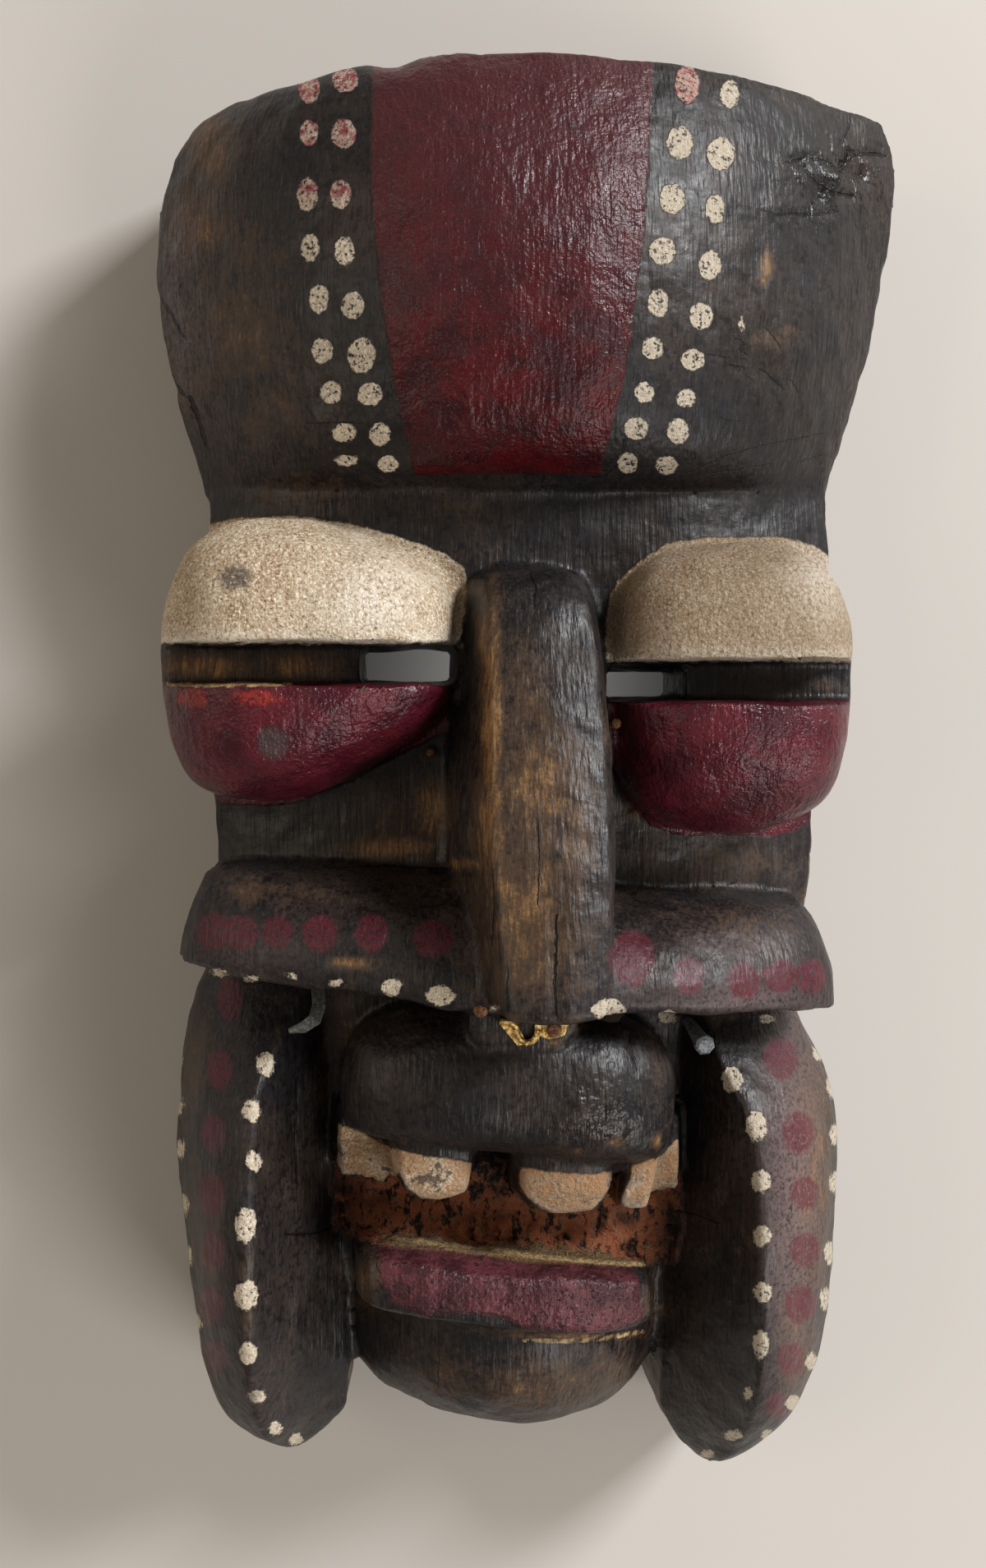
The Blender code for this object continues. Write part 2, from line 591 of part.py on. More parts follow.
def build_hollow(collection):
    low = -CUT_PAST
    crown_forehead = FOREHEAD_CROWN - WALL - 3
    crown_face = CHEEK_LEVEL - WALL - 1
    side = HALF_WIDTH - WALL
    # Down the back: place, left and right side as shares, shoulder level, crown level
    stations = [
        (TOP_Y - WALL, -0.72, 0.80, 18, crown_forehead * 0.74),
        (TOP_Y - WALL - 8, -0.88, 0.96, 24, crown_forehead * 0.88),
        (FOREHEAD_FOOT_Y + 61.5, -0.98, 0.99, 28, crown_forehead * 0.985),
        (FOREHEAD_FOOT_Y + 37.5, -0.97, 0.94, 28, crown_forehead),
        (FOREHEAD_FOOT_Y + 15.5, -0.91, 0.87, 30, crown_forehead * 0.93),
        (FOREHEAD_FOOT_Y - 4.5, -0.85, 0.79, 32, crown_face + 8),
        (along(52), -0.84, 0.77, 32, crown_face + 2), (0, -0.84, 0.76, 32, crown_face),
        (along(-45), -0.84, 0.75, 30, crown_face - 2),
        (along(-75), -0.86, 0.78, 25, crown_face - 5),
        (along(-105), -0.88, 0.80, 21, crown_face - 8),
        (along(-128), -0.82, 0.77, 18, crown_face - 10),
        (along(-145), -0.68, 0.65, 13, crown_face - 17),
        (along(-155), -0.48, 0.44, 5, crown_face - 28),
    ]
    rings = [arch_ring(y, side * left, side * right, low, shoulder, crown, tuck=-2.0, power=2.2)
             for y, left, right, shoulder, crown in stations]
    return make_object("hollow", rings, collection)


# Septum pad: small flat of wood under the nose that takes the two nails and the brass hanger

PAD_LEFT = -19.5
PAD_RIGHT = 8.0
PAD_TOP = NOSE_FOOT_Y + 0.5
PAD_FOOT = NOSE_FOOT_Y - 11.5
PAD_CORNER = 3.0


def build_pad(collection):
    rings = block_rings(PAD_LEFT, PAD_RIGHT, PAD_FOOT, PAD_TOP, MOUTH_FLOOR_LEVEL,
                        PAD_LEVEL, corner=PAD_CORNER)
    return make_object("pad", rings, collection)


# Nails: round heads on shanks, each in its own clearance hole

PLATE_STACK = PLATE_THICKNESS + 2 * FIT_GAP
# Centre x and y, seat level, head across, shank across, shank length
NAILS = {
    "nail_septum_left": (-16.8, NOSE_FOOT_Y - 1.1, PAD_LEVEL + 5, NAIL_HEAD_ACROSS,
                         NAIL_SHANK_ACROSS, NAIL_SHANK_LENGTH),
    "nail_septum_right": (1.9, NOSE_FOOT_Y - 7.2, PAD_LEVEL + PLATE_STACK - FIT_GAP,
                          NAIL_HEAD_ACROSS, NAIL_SHANK_ACROSS, NAIL_SHANK_LENGTH),
    "nail_nose_left": (-28.1, LEFT_SLOT_Y - 23.2, CHEEK_LEVEL + 2, SIDE_NAIL_HEAD_ACROSS,
                       SIDE_NAIL_SHANK_ACROSS, SIDE_NAIL_SHANK_LENGTH),
    "nail_nose_right": (RIGHT_EYE_INNER_X + 2.9, RIGHT_SLOT_Y - 10.8, EYE_SLOT_FLOOR + 3,
                        SIDE_NAIL_HEAD_ACROSS, SIDE_NAIL_SHANK_ACROSS, SIDE_NAIL_SHANK_LENGTH),
}


def build_nail(title, collection):
    """Domed nail with the underside of its head one gap above the seat level."""
    x, y, seat, head_across, shank_across, shank_length = NAILS[title]
    head = head_across / 2
    shank = shank_across / 2
    thick = NAIL_HEAD_THICKNESS
    stations = [(-shank_length, shank * 0.35), (-shank_length + 3, shank), (-0.0001, shank),
                (0, head * 0.92), (thick * 0.35, head), (thick * 0.75, head * 0.82),
                (thick, head * 0.42)]
    return round_post(title, (x, y, seat + FIT_GAP), (0, 0, 1), stations, collection)


def build_nail_hole(title, collection):
    x, y, seat, head_across, shank_across, shank_length = NAILS[title]
    radius = shank_across / 2 + FIT_GAP
    stations = [(-shank_length - FIT_GAP, radius), (CUT_PAST * 5, radius)]
    return round_post(title + "_hole", (x, y, seat), (0, 0, 1), stations, collection)


def build_nail_seat(title, collection):
    """Round seat that clears the wood above the underside of a nail head."""
    x, y, seat, head_across, shank_across, shank_length = NAILS[title]
    radius = head_across / 2 + FIT_GAP * 2
    stations = [(0, radius), (CUT_PAST * 5, radius)]
    return round_post(title + "_seat", (x, y, seat), (0, 0, 1), stations, collection)


# Brass hanger: an ear under the right septum nail, bent on into a wire loop with a torn tab

def wire_along(title, path, radius, collection, sides=8):
    """Round wire through a list of points, closed at both ends."""
    points = [Vector(point) for point in path]
    rings = []
    for i, point in enumerate(points):
        ahead = (points[min(i + 1, len(points) - 1)] - points[max(i - 1, 0)]).normalized()
        side = ahead.cross(Vector((0, 0, 1))).normalized()
        up = side.cross(ahead)
        ring = []
        for k in range(sides):
            angle = 2 * math.pi * (k + 0.5) / sides
            ring.append(tuple(point + (side * math.cos(angle) + up * math.sin(angle)) * radius))
        rings.append(ring)
    return make_object(title, rings, collection)


def flat_plate(title, plan, low, high, collection):
    rings = [[(x, y, low) for x, y in plan], [(x, y, high) for x, y in plan]]
    return make_object(title, rings, collection)


def build_hanger(collection, cutters):
    """Its plan is laid out from the centre of the nail that holds it."""
    nail_x, nail_y = NAILS["nail_septum_right"][:2]
    low = PAD_LEVEL + FIT_GAP
    high = low + PLATE_THICKNESS
    radius = WIRE_THICKNESS / 2
    tab_lift = 0.1

    def plan(points):
        return [(nail_x + x, nail_y + y) for x, y in points]

    ear = plan([(-4.8, 1.5), (-3.1, 2.3), (3.0, 2.6), (3.8, 1.3), (2.7, -1.7), (-1.3, -2.5),
                (-4.8, -1.1)])
    tab = plan([(-13.9, 1.9), (-10.1, 1.3), (-8.1, -0.7), (-6.9, -3.5), (-9.1, -4.1)])
    loop = plan([(-13.7, 2.2), (-11.2, 2.1), (-9.6, 1.0), (-9.4, -0.5), (-8.6, -2.3),
                 (-7.1, -3.3), (-5.5, -2.9), (-4.4, -1.7), (-4.0, -0.1)])
    hanger = flat_plate("brass_hanger", ear, low, high, collection)
    level = high + radius * 0.35
    wire = wire_along("hanger_wire", [(x, y, level) for x, y in loop], radius, cutters)
    join_all(hanger, [wire, flat_plate("hanger_tab", tab, low + tab_lift, high + tab_lift,
                                       cutters)])
    cut_all(hanger, [build_nail_hole("nail_septum_right", cutters)])
    return hanger


# Peg: a short faceted stub standing in a hole at the top of the right flap

PEG_CENTRE = (across(43.4), RIGHT_FLAP_TOP_Y + (RIGHT_FLAP_FOOT_Y - RIGHT_FLAP_TOP_Y) * 0.0592,
              FLAP_RIDGE_LEVEL * 0.847)
PEG_LEAN = (0.10, -0.20, 1.0)


def build_peg(collection):
    radius = PEG_ACROSS / 2
    stations = [(-PEG_DEPTH, radius * 0.55), (0, radius * 0.78),
                (PEG_STAND_OUT * 0.5, radius * 0.95), (PEG_STAND_OUT * 0.85, radius),
                (PEG_STAND_OUT, radius * 0.70)]
    return round_post("peg", PEG_CENTRE, PEG_LEAN, stations, collection, sides=7)


def build_peg_hole(collection):
    radius = PEG_ACROSS / 2 + FIT_GAP
    stations = [(-PEG_DEPTH - FIT_GAP * 2, radius * 0.62), (0, radius * 0.90),
                (PEG_STAND_OUT, radius * 1.16), (PEG_STAND_OUT * 5, radius * 1.16)]
    return round_post("peg_hole", PEG_CENTRE, PEG_LEAN, stations, collection, sides=14)


# Strip: a short curl of dark fibre whose upper end is let into the underside of the bar

# Place across, then up from the foot of the nose and back from the front of the bar
STRIP_PATH = [(across(x), NOSE_FOOT_Y + up, BAR_FRONT_LEVEL - back) for x, up, back in [
    (-58.6, 4.5, 27.0), (-57.8, 0.5, 25.0), (-57.4, -3.1, 22.4), (-58.4, -6.3, 20.2),
    (-61.4, -8.1, 19.0), (-65.0, -8.9, 18.6)]]


def strip_rings(width, thickness, grow=0.0):
    rings = []
    last = len(STRIP_PATH) - 1
    for i, place in enumerate(STRIP_PATH):
        point = Vector(place)
        ahead = (Vector(STRIP_PATH[min(i + 1, last)]) - Vector(STRIP_PATH[max(i - 1, 0)]))
        ahead.normalize()
        side = ahead.cross(Vector((0.25, 0, 1))).normalized()
        up = side.cross(ahead)
        taper = (0.8, 0.95, 1.0, 1.05, 0.85, 0.35)[i]
        wide = width / 2 * taper + grow
        thick = thickness / 2 + grow
        rings.append([tuple(point + side * a * wide + up * b * thick)
                      for a, b in [(-1, -0.5), (-0.6, -1), (0.6, -1), (1, -0.5), (1, 0.5),
                                   (0.5, 1), (-0.5, 1), (-1, 0.5)]])
    return rings


def build_strip(collection):
    return make_object("fibre_strip", strip_rings(STRIP_WIDTH, STRIP_THICKNESS), collection)


def build_strip_hole(collection):
    return make_object("strip_hole", strip_rings(STRIP_WIDTH, STRIP_THICKNESS, FIT_GAP + 0.1),
                       collection)


def give_material(made, title, colour, roughness, metallic=0.0):
    material = bpy.data.materials.new(title)
    material.use_nodes = True
    shader = material.node_tree.nodes["Principled BSDF"]
    shader.inputs["Base Color"].default_value = (*colour, 1.0)
    shader.inputs["Roughness"].default_value = roughness
    shader.inputs["Metallic"].default_value = metallic
    made.data.materials.clear()
    made.data.materials.append(material)


def main():
    for old in list(bpy.data.objects):
        bpy.data.objects.remove(old)
    parts = new_collection("carved_mask")
    cutters = new_collection("cutters")

    mask = build_body(parts)
    mask.name = "mask"
    carved = [build_forehead(cutters), build_chin(cutters), build_left_flap(cutters),
              build_right_flap(cutters), build_left_eye(cutters), build_right_eye(cutters),
              build_upper_lip(cutters), build_lower_lip(cutters), build_pad(cutters),
              build_bar(cutters), build_nose(cutters)]
    carved += build_teeth(cutters)
    join_all(mask, carved)
    cut_all(mask, [build_hollow(cutters)] + build_eye_cutters(cutters))

    for title in NAILS:
        cut_all(mask, [build_nail_seat(title, cutters), build_nail_hole(title, cutters)])
    nails = [build_nail(title, parts) for title in NAILS]
    cut_all(mask, [build_peg_hole(cutters), build_strip_hole(cutters)])

    hanger = build_hanger(parts, cutters)
    peg = build_peg(parts)
    strip = build_strip(parts)

    give_material(mask, "carved_wood", (0.045, 0.032, 0.026), 0.55)
    for made in nails:
        give_material(made, made.name + "_iron", (0.16, 0.075, 0.040), 0.6, 0.7)
    give_material(hanger, "bent_brass", (0.62, 0.42, 0.16), 0.4, 0.9)
    give_material(peg, "grey_peg", (0.20, 0.22, 0.24), 0.6)
    give_material(strip, "dark_fibre", (0.055, 0.048, 0.038), 0.75)

    for cutter in cutters.objects:
        cutter.hide_render = True
        cutter.display_type = "WIRE"


main()
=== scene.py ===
"""Looks of a carved wooden face mask that lies on its hollow back with the face up."""
import json
import math
from types import SimpleNamespace

import bmesh
import bpy
import numpy as np
from mathutils import Matrix, Vector

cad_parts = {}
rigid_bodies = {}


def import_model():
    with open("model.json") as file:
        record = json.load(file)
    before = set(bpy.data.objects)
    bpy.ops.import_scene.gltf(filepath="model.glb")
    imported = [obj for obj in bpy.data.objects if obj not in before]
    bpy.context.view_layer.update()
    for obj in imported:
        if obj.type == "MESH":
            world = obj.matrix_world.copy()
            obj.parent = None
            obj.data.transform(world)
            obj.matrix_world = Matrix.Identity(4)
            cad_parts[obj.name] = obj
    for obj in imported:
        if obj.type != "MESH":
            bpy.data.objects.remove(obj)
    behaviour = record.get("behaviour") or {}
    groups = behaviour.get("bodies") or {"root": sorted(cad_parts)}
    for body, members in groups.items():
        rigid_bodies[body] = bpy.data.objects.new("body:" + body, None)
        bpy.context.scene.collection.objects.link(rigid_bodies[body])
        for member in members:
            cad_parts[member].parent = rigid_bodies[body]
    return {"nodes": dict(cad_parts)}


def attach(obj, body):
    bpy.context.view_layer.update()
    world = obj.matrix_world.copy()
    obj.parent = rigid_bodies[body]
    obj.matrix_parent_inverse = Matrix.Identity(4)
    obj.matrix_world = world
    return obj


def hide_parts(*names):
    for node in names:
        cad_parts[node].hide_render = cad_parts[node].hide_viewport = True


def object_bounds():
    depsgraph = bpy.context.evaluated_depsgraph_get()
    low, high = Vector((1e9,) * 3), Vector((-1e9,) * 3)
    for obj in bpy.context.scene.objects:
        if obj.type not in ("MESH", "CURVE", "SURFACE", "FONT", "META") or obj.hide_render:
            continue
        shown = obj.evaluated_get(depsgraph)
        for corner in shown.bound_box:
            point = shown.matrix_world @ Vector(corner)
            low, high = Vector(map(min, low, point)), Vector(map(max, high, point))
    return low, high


for old in list(bpy.data.objects):
    bpy.data.objects.remove(old)
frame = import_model()
cad_low, cad_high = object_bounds()


# Viewing point: close in front of the face, level with the eyes and a little to the left.
# The mask lies on its back, so this looks down on it. The painted marks are placed where
# they are seen from here, in the units of a picture 1200 wide and 1909 high.
VIEW_FROM = np.array([-42.3, 36.6, 500.0])
VIEW_TO = np.array([-11.1, 9.2, 60.0])
PICTURE_WIDE = 1200
PICTURE_HIGH = 1909
FOCAL = 2000.0
SENSOR = 36.0
MM = 0.001
# Size of one picture unit on the face, in millimetres
UNIT = 0.22

ahead = (VIEW_TO - VIEW_FROM) / np.linalg.norm(VIEW_TO - VIEW_FROM)
rightward = np.cross(ahead, [0.0, 1.0, 0.0])
rightward /= np.linalg.norm(rightward)
upward = np.cross(rightward, ahead)

lens = bpy.data.cameras.new("viewing_point")
lens.sensor_width = SENSOR
lens.lens = SENSOR * FOCAL / PICTURE_HIGH
lens.clip_start = 0.01
camera = bpy.data.objects.new("viewing_point", lens)
bpy.context.scene.collection.objects.link(camera)
camera.matrix_world = Matrix([[rightward[i], upward[i], -ahead[i], VIEW_FROM[i] * MM]
                              for i in range(3)] + [[0, 0, 0, 1]])
bpy.context.scene.camera = camera


def seen_at(points):
    """Where points in millimetres are seen, u to the right and v down from the picture's
    upper left corner: the focal length times the distance aside, over the distance ahead."""
    away = points - VIEW_FROM
    depth = away @ ahead
    return (PICTURE_WIDE / 2 + FOCAL * (away @ rightward) / depth,
            PICTURE_HIGH / 2 - FOCAL * (away @ upward) / depth)


# Carved body: one half log of dense dark-stained wood, cut with adze and knife, hollowed
# from behind. Lids, nose, bar, lips, teeth and flaps are all cut in one with it. It keeps
# the solid's form; the cuts, cracks, chips and worn edges are worked into its surface.
VOXEL = 1.50
MOST_TRIANGLES = 196000
HOLLOW_KEPT = 0.23
# A point that faces the viewing point less than this is on a wall
WALL_FACING = 0.12
FAIRING = {"tolerance": 0.03, "rounds": 30, "settle": 60}
# Unevenness of the surface: height, length and random seed of each set of waves, in mm
SURFACE_WAVES = [(0.30, 46, 1), (0.14, 15, 2), (0.10, 7, 9)]
MOUTH_CRUMBS = [(0.8, 5.0, 4), (0.8, 2.8, 5)]
KNOT_LUMPS = [(0.9, 11.0, 7), (0.22, 3.6, 8)]
# Blade cuts: spacing, stretch along the grain and random seed, outside and in the hollow
OUTER_CUTS = (12.0, 2.2, 3)
HOLLOW_CUTS = (17.0, 1.7, 6)
OUTER_CUT_DEPTH = 0.50
SIDE_CUT_DEPTH = 0.8
HOLLOW_CUT_DEPTH = 1.3
CUT_COUNT = 620
# The knot and the notch in the top edge, as seen: middle and half sizes
KNOT = (1020, 215, 46, 34)
NOTCH_MIDDLE = 480
NOTCH_HALF_WIDTH = 24
NOTCH_DEPTH = 1.7
# Soft ledge above the left brow, with its depth and half width in millimetres
LEDGE = [(300, 566), (360, 560), (420, 563), (460, 570)]
LEDGE_DEPTH = 0.35
LEDGE_HALF_WIDTH = 2.5
# The mesh only shows a crack's shallower, wider part; the material draws its dark line
CRACK_SHARE = 0.6
CRACK_LEAST_HALF_WIDTH = 1.0
# Level of the mouth's back wall, and the heights on the face between which the teeth stand
MOUTH_BACK = 60.5
TEETH_FROM = -109
TEETH_TO = -80
# Upper edge of the lower lip, as seen
LOWER_LIP_TOP = 1535
# Level under which a point belongs to the flat rim, the part of the face under which all
# that faces down is the hollow's ceiling, and the ends of the mask's middle line
RIM_LEVEL = 1.2
CEILING_FROM = 70
CEILING_TO = 140
CEILING_HALF_WIDTH = 25
MIDDLE_FOOT = -100
MIDDLE_TOP = 120
# Boxes round the two eye holes: from and to across, then from and to up the face
EYE_HOLES = [(-47.5, -20.0, 30.5, 46.7), (16.8, 39.5, 30.5, 46.7)]


def evaluated_copy(made):
    """The mesh of an object after its modifiers, as plain data."""
    bpy.context.view_layer.update()
    graph = bpy.context.evaluated_depsgraph_get()
    return bpy.data.meshes.new_from_object(made.evaluated_get(graph))


def mesh_points(mesh):
    """Places of a mesh's points in millimetres."""
    flat = np.empty(len(mesh.vertices) * 3, np.float32)
    mesh.vertices.foreach_get("co", flat)
    return flat.reshape(-1, 3).astype(float) / MM


def mesh_normals(mesh):
    flat = np.empty(len(mesh.vertices) * 3, np.float32)
    mesh.vertex_normals.foreach_get("vector", flat)
    return flat.reshape(-1, 3).astype(float)


def mesh_edges(mesh):
    flat = np.empty(len(mesh.edges) * 2, np.int32)
    mesh.edges.foreach_get("vertices", flat)
    return flat.reshape(-1, 2)


def set_points(mesh, points):
    mesh.vertices.foreach_set("co", (points * MM).astype(np.float32).ravel())
    mesh.update()


def neighbour_mean(points, edges):
    """Mean of the points joined to each point by an edge."""
    total = np.zeros_like(points)
    size = len(points)
    for axis in range(points.shape[1]):
        total[:, axis] = (np.bincount(edges[:, 0], points[edges[:, 1], axis], size)
                          + np.bincount(edges[:, 1], points[edges[:, 0], axis], size))
    return total / np.bincount(edges.ravel(), minlength=size)[:, None]


def faired(points, normals, edges, tolerance, rounds, settle):
    """Melt the solid's flat strips into one curve but keep its real edges: each normal is
    averaged with those neighbours that already point nearly the same way, then every edge
    is turned square to the mean normal of its two ends."""
    first, second = edges.T
    size = len(points)
    for _ in range(rounds):
        unlike = 1 - (normals[first] * normals[second]).sum(1)
        weight = np.exp(-unlike / tolerance)
        total = normals * 0.5
        for axis in range(3):
            total[:, axis] += (np.bincount(first, weight * normals[second, axis], size)
                               + np.bincount(second, weight * normals[first, axis], size))
        normals = total / np.linalg.norm(total, axis=1)[:, None]
    middle = normals[first] + normals[second]
    middle /= np.linalg.norm(middle, axis=1)[:, None] + 1e-9
    degree = np.bincount(edges.ravel(), minlength=size)
    for _ in range(settle):
        gap = points[second] - points[first]
        push = middle * (gap * middle).sum(1)[:, None] * 0.5
        for axis in range(3):
            points[:, axis] += (np.bincount(first, push[:, axis], size)
                                - np.bincount(second, push[:, axis], size)) / degree * 1.6
    return points


def soft_step(low, high, value):
    """Smooth rise from 0 at the low value to 1 at the high one: 3t squared less 2t cubed."""
    t = np.clip((value - low) / (high - low), 0, 1)
    return t * t * (3 - 2 * t)


def waves(points, length, seed, count=20):
    """Smooth unevenness, about -1 to 1: plane waves of about one length in random directions."""
    random = np.random.default_rng(seed)
    heading = random.normal(size=(count, 3))
    heading /= np.linalg.norm(heading, axis=1)[:, None]
    pace = 2 * math.pi / (length * random.uniform(0.7, 1.5, count))
    phase = random.uniform(0, 2 * math.pi, count)
    return np.sin(points @ (heading * pace[:, None]).T + phase).sum(1) / math.sqrt(count)


def wave_sum(points, kinds):
    return sum(height * waves(points, length, seed) for height, length, seed in kinds)


def blade_cuts(points, spacing, stretch, seed):
    """Depth of overlapping shallow cuts, 1 in the middle of a cut and less towards the ridges
    between them: one minus the squared distance to the nearest of many scattered cut
    centres, with distances along the grain shortened by the stretch."""
    random = np.random.default_rng(seed)
    squash = np.array([1.0, 1.0 / stretch, 1.0]) / spacing
    spots = points[random.choice(len(points), size=CUT_COUNT, replace=False)] * squash
    placed = points * squash
    nearest = np.full(len(points), 9.0)
    share = 20000
    for first in range(0, len(points), share):
        block = placed[first:first + share]
        gap = ((block[:, None, :] - spots[None]) ** 2).sum(2)
        nearest[first:first + share] = gap.min(1)
    return 1 - np.clip(nearest, 0, 1)


def outline_depth(u, v, outline):
    """Distance inside a closed outline, in picture units, negative outside it."""
    inside = np.zeros(len(u), bool)
    nearest = np.full(len(u), 1e9)
    for (ax, ay), (bx, by) in zip(outline, outline[1:] + outline[:1]):
        crosses = (ay > v) != (by > v)
        with np.errstate(divide="ignore", invalid="ignore"):
            inside ^= crosses & (u < (bx - ax) * (v - ay) / (by - ay) + ax)
        nearest = np.minimum(nearest, segment_distance(u, v, (ax, ay), (bx, by)))
    return np.where(inside, nearest, -nearest)


def segment_distance(u, v, start, end):
    """Distance to a straight stretch: to the nearest point between its two ends."""
    dx, dy = end[0] - start[0], end[1] - start[1]
    t = np.clip(((u - start[0]) * dx + (v - start[1]) * dy) / (dx * dx + dy * dy), 0, 1)
    return np.hypot(u - start[0] - t * dx, v - start[1] - t * dy)


def path_distance(u, v, path):
    return np.min([segment_distance(u, v, a, b) for a, b in zip(path, path[1:])], axis=0)


def path_side(u, v, path):
    """Distance to a path and the side of it, -1 or 1, taken from its nearest stretch."""
    nearest = np.full(len(u), 1e9)
    side = np.ones(len(u))
    for start, end in zip(path, path[1:]):
        gap = segment_distance(u, v, start, end)
        turn = np.sign((end[0] - start[0]) * (v - start[1]) - (end[1] - start[1]) * (u - start[0]))
        side = np.where(gap < nearest, turn, side)
        nearest = np.minimum(nearest, gap)
    return nearest, side


def glow(u, v, spot):
    """Bell over an oval spot: e to the minus squared distance over its half sizes."""
    return np.exp(-((u - spot[0]) / spot[2]) ** 2 - ((v - spot[1]) / spot[3]) ** 2)


def spots_depth(u, v, spots, wide, high):
    """Distance inside the nearest of many upright oval spots, in picture units."""
    best = np.full(len(u), -1e9)
    for index, spot in enumerate(spots):
        half_wide = (spot[2] if len(spot) > 2 else wide) * (1 + 0.07 * math.sin(index * 2.4))
        half_high = (spot[3] if len(spot) > 3 else high) * (1 + 0.07 * math.cos(index * 1.7))
        reach = np.hypot((u - spot[0]) / half_wide, (v - spot[1]) / half_high)
        best = np.maximum(best, (1 - reach) * min(half_wide, half_high))
    return best


def between(u, v, left, right, top, foot):
    """Distance inside a band whose left and right edges are paths given as (v, u) pairs."""
    left_edge = np.interp(v, *zip(*left))
    right_edge = np.interp(v, *zip(*right))
    return np.min([u - left_edge, right_edge - u, v - top, foot - v], axis=0)


# Cracks in the wood, each a path as seen, with its half width and depth in millimetres
CRACKS = [
    ([(1072, 188), (1050, 187), (1036, 190), (1031, 197), (1022, 208),
      (1010, 200), (996, 194), (980, 193), (962, 197)], 0.42, 1.6),
    ([(1031, 197), (1027, 188), (1032, 182), (1040, 184)], 0.35, 1.0),
    ([(977, 200), (984, 214), (994, 224), (1006, 231), (1020, 236), (1036, 238)], 0.40, 1.5),
    ([(1001, 232), (992, 243), (985, 252), (983, 262)], 0.25, 1.0),
    ([(946, 262), (966, 260), (983, 262), (1000, 261), (1014, 257)], 0.35, 1.0),
    ([(1034, 146), (1030, 162), (1023, 174)], 0.35, 0.5),
    ([(1078, 322), (1074, 334), (1077, 346)], 0.5, 0.8),
    ([(887, 444), (895, 446), (904, 448)], 0.3, 0.4),
    ([(897, 412), (909, 422)], 0.25, 0.3), ([(897, 423), (908, 432)], 0.25, 0.3),
    ([(865, 432), (883, 435)], 0.25, 0.25), ([(927, 450), (938, 460), (951, 471)], 0.3, 0.35),
    ([(963, 463), (970, 475)], 0.25, 0.3), ([(933, 400), (950, 423)], 0.16, 0.2),
    ([(902, 452), (913, 462)], 0.16, 0.2), ([(878, 510), (898, 513)], 0.16, 0.2),
    ([(845, 573), (880, 556), (933, 541), (1000, 528)], 0.18, 0.25),
    ([(973, 562), (1003, 553)], 0.16, 0.2), ([(860, 578), (930, 566)], 0.14, 0.15),
    ([(806, 96), (798, 112), (796, 128), (790, 148)], 0.25, 0.4),
    ([(676, 1118), (677, 1160), (675, 1200), (677, 1236)], 0.40, 1.4),
    ([(618, 1180), (617, 1210), (619, 1232)], 0.3, 0.6),
    ([(655, 1000), (656, 1060), (654, 1100)], 0.2, 0.3),
    ([(600, 1060), (601, 1110), (599, 1150)], 0.2, 0.3),
    ([(360, 1318), (359, 1370), (361, 1442)], 0.35, 1.2),
    ([(352, 1503), (379, 1502), (404, 1495)], 0.35, 1.0),
    ([(824, 1474), (845, 1478), (870, 1488)], 0.3, 0.7),
    ([(190, 362), (198, 366), (208, 380), (224, 410)], 0.35, 0.6),
    ([(196, 420), (203, 446), (216, 472), (224, 480)], 0.5, 1.2),
    ([(232, 484), (240, 506), (246, 524), (251, 541)], 0.55, 1.2),
    ([(380, 515), (410, 514), (442, 515)], 0.16, 0.25),
    ([(765, 1262), (768, 1276), (775, 1297)], 0.35, 0.9),
    ([(645, 700), (652, 716), (649, 735)], 0.3, 0.6),
    ([(513, 1752), (515, 1722), (512, 1700)], 0.3, 0.6),
    ([(533, 1610), (534, 1650), (533, 1690)], 0.15, 0.3),
    ([(404, 1056), (470, 1054), (543, 1057)], 0.35, 0.6),
]


def hollow_points(points, normals, edges):
    """Points of the dug-out back: those joined to its ceiling by edges over points that face
    down, or sideways towards the mask's middle line, and not over the rim or the walls of
    the two eye holes."""
    x, y, z = points.T
    in_hole = np.zeros(len(points), bool)
    for left, right, foot, top in EYE_HOLES:
        in_hole |= (x > left) & (x < right) & (y > foot) & (y < top)
    middle = np.clip(y, MIDDLE_FOOT, MIDDLE_TOP)
    inward = (middle - y) * normals[:, 1] - x * normals[:, 0] > 0
    sunk = (normals[:, 2] < -0.35) | (inward & (normals[:, 2] < 0.1))
    allowed = (z > RIM_LEVEL) & ~in_hole & sunk
    first, second = edges[allowed[edges].all(1)].T
    reached = allowed & (normals[:, 2] < -0.6) & (np.abs(x) < CEILING_HALF_WIDTH)
    reached &= (y > CEILING_FROM) & (y < CEILING_TO)
    count = 0
    while reached.sum() > count:
        count = reached.sum()
        reached[second[reached[first]]] = True
        reached[first[reached[second]]] = True
    return reached


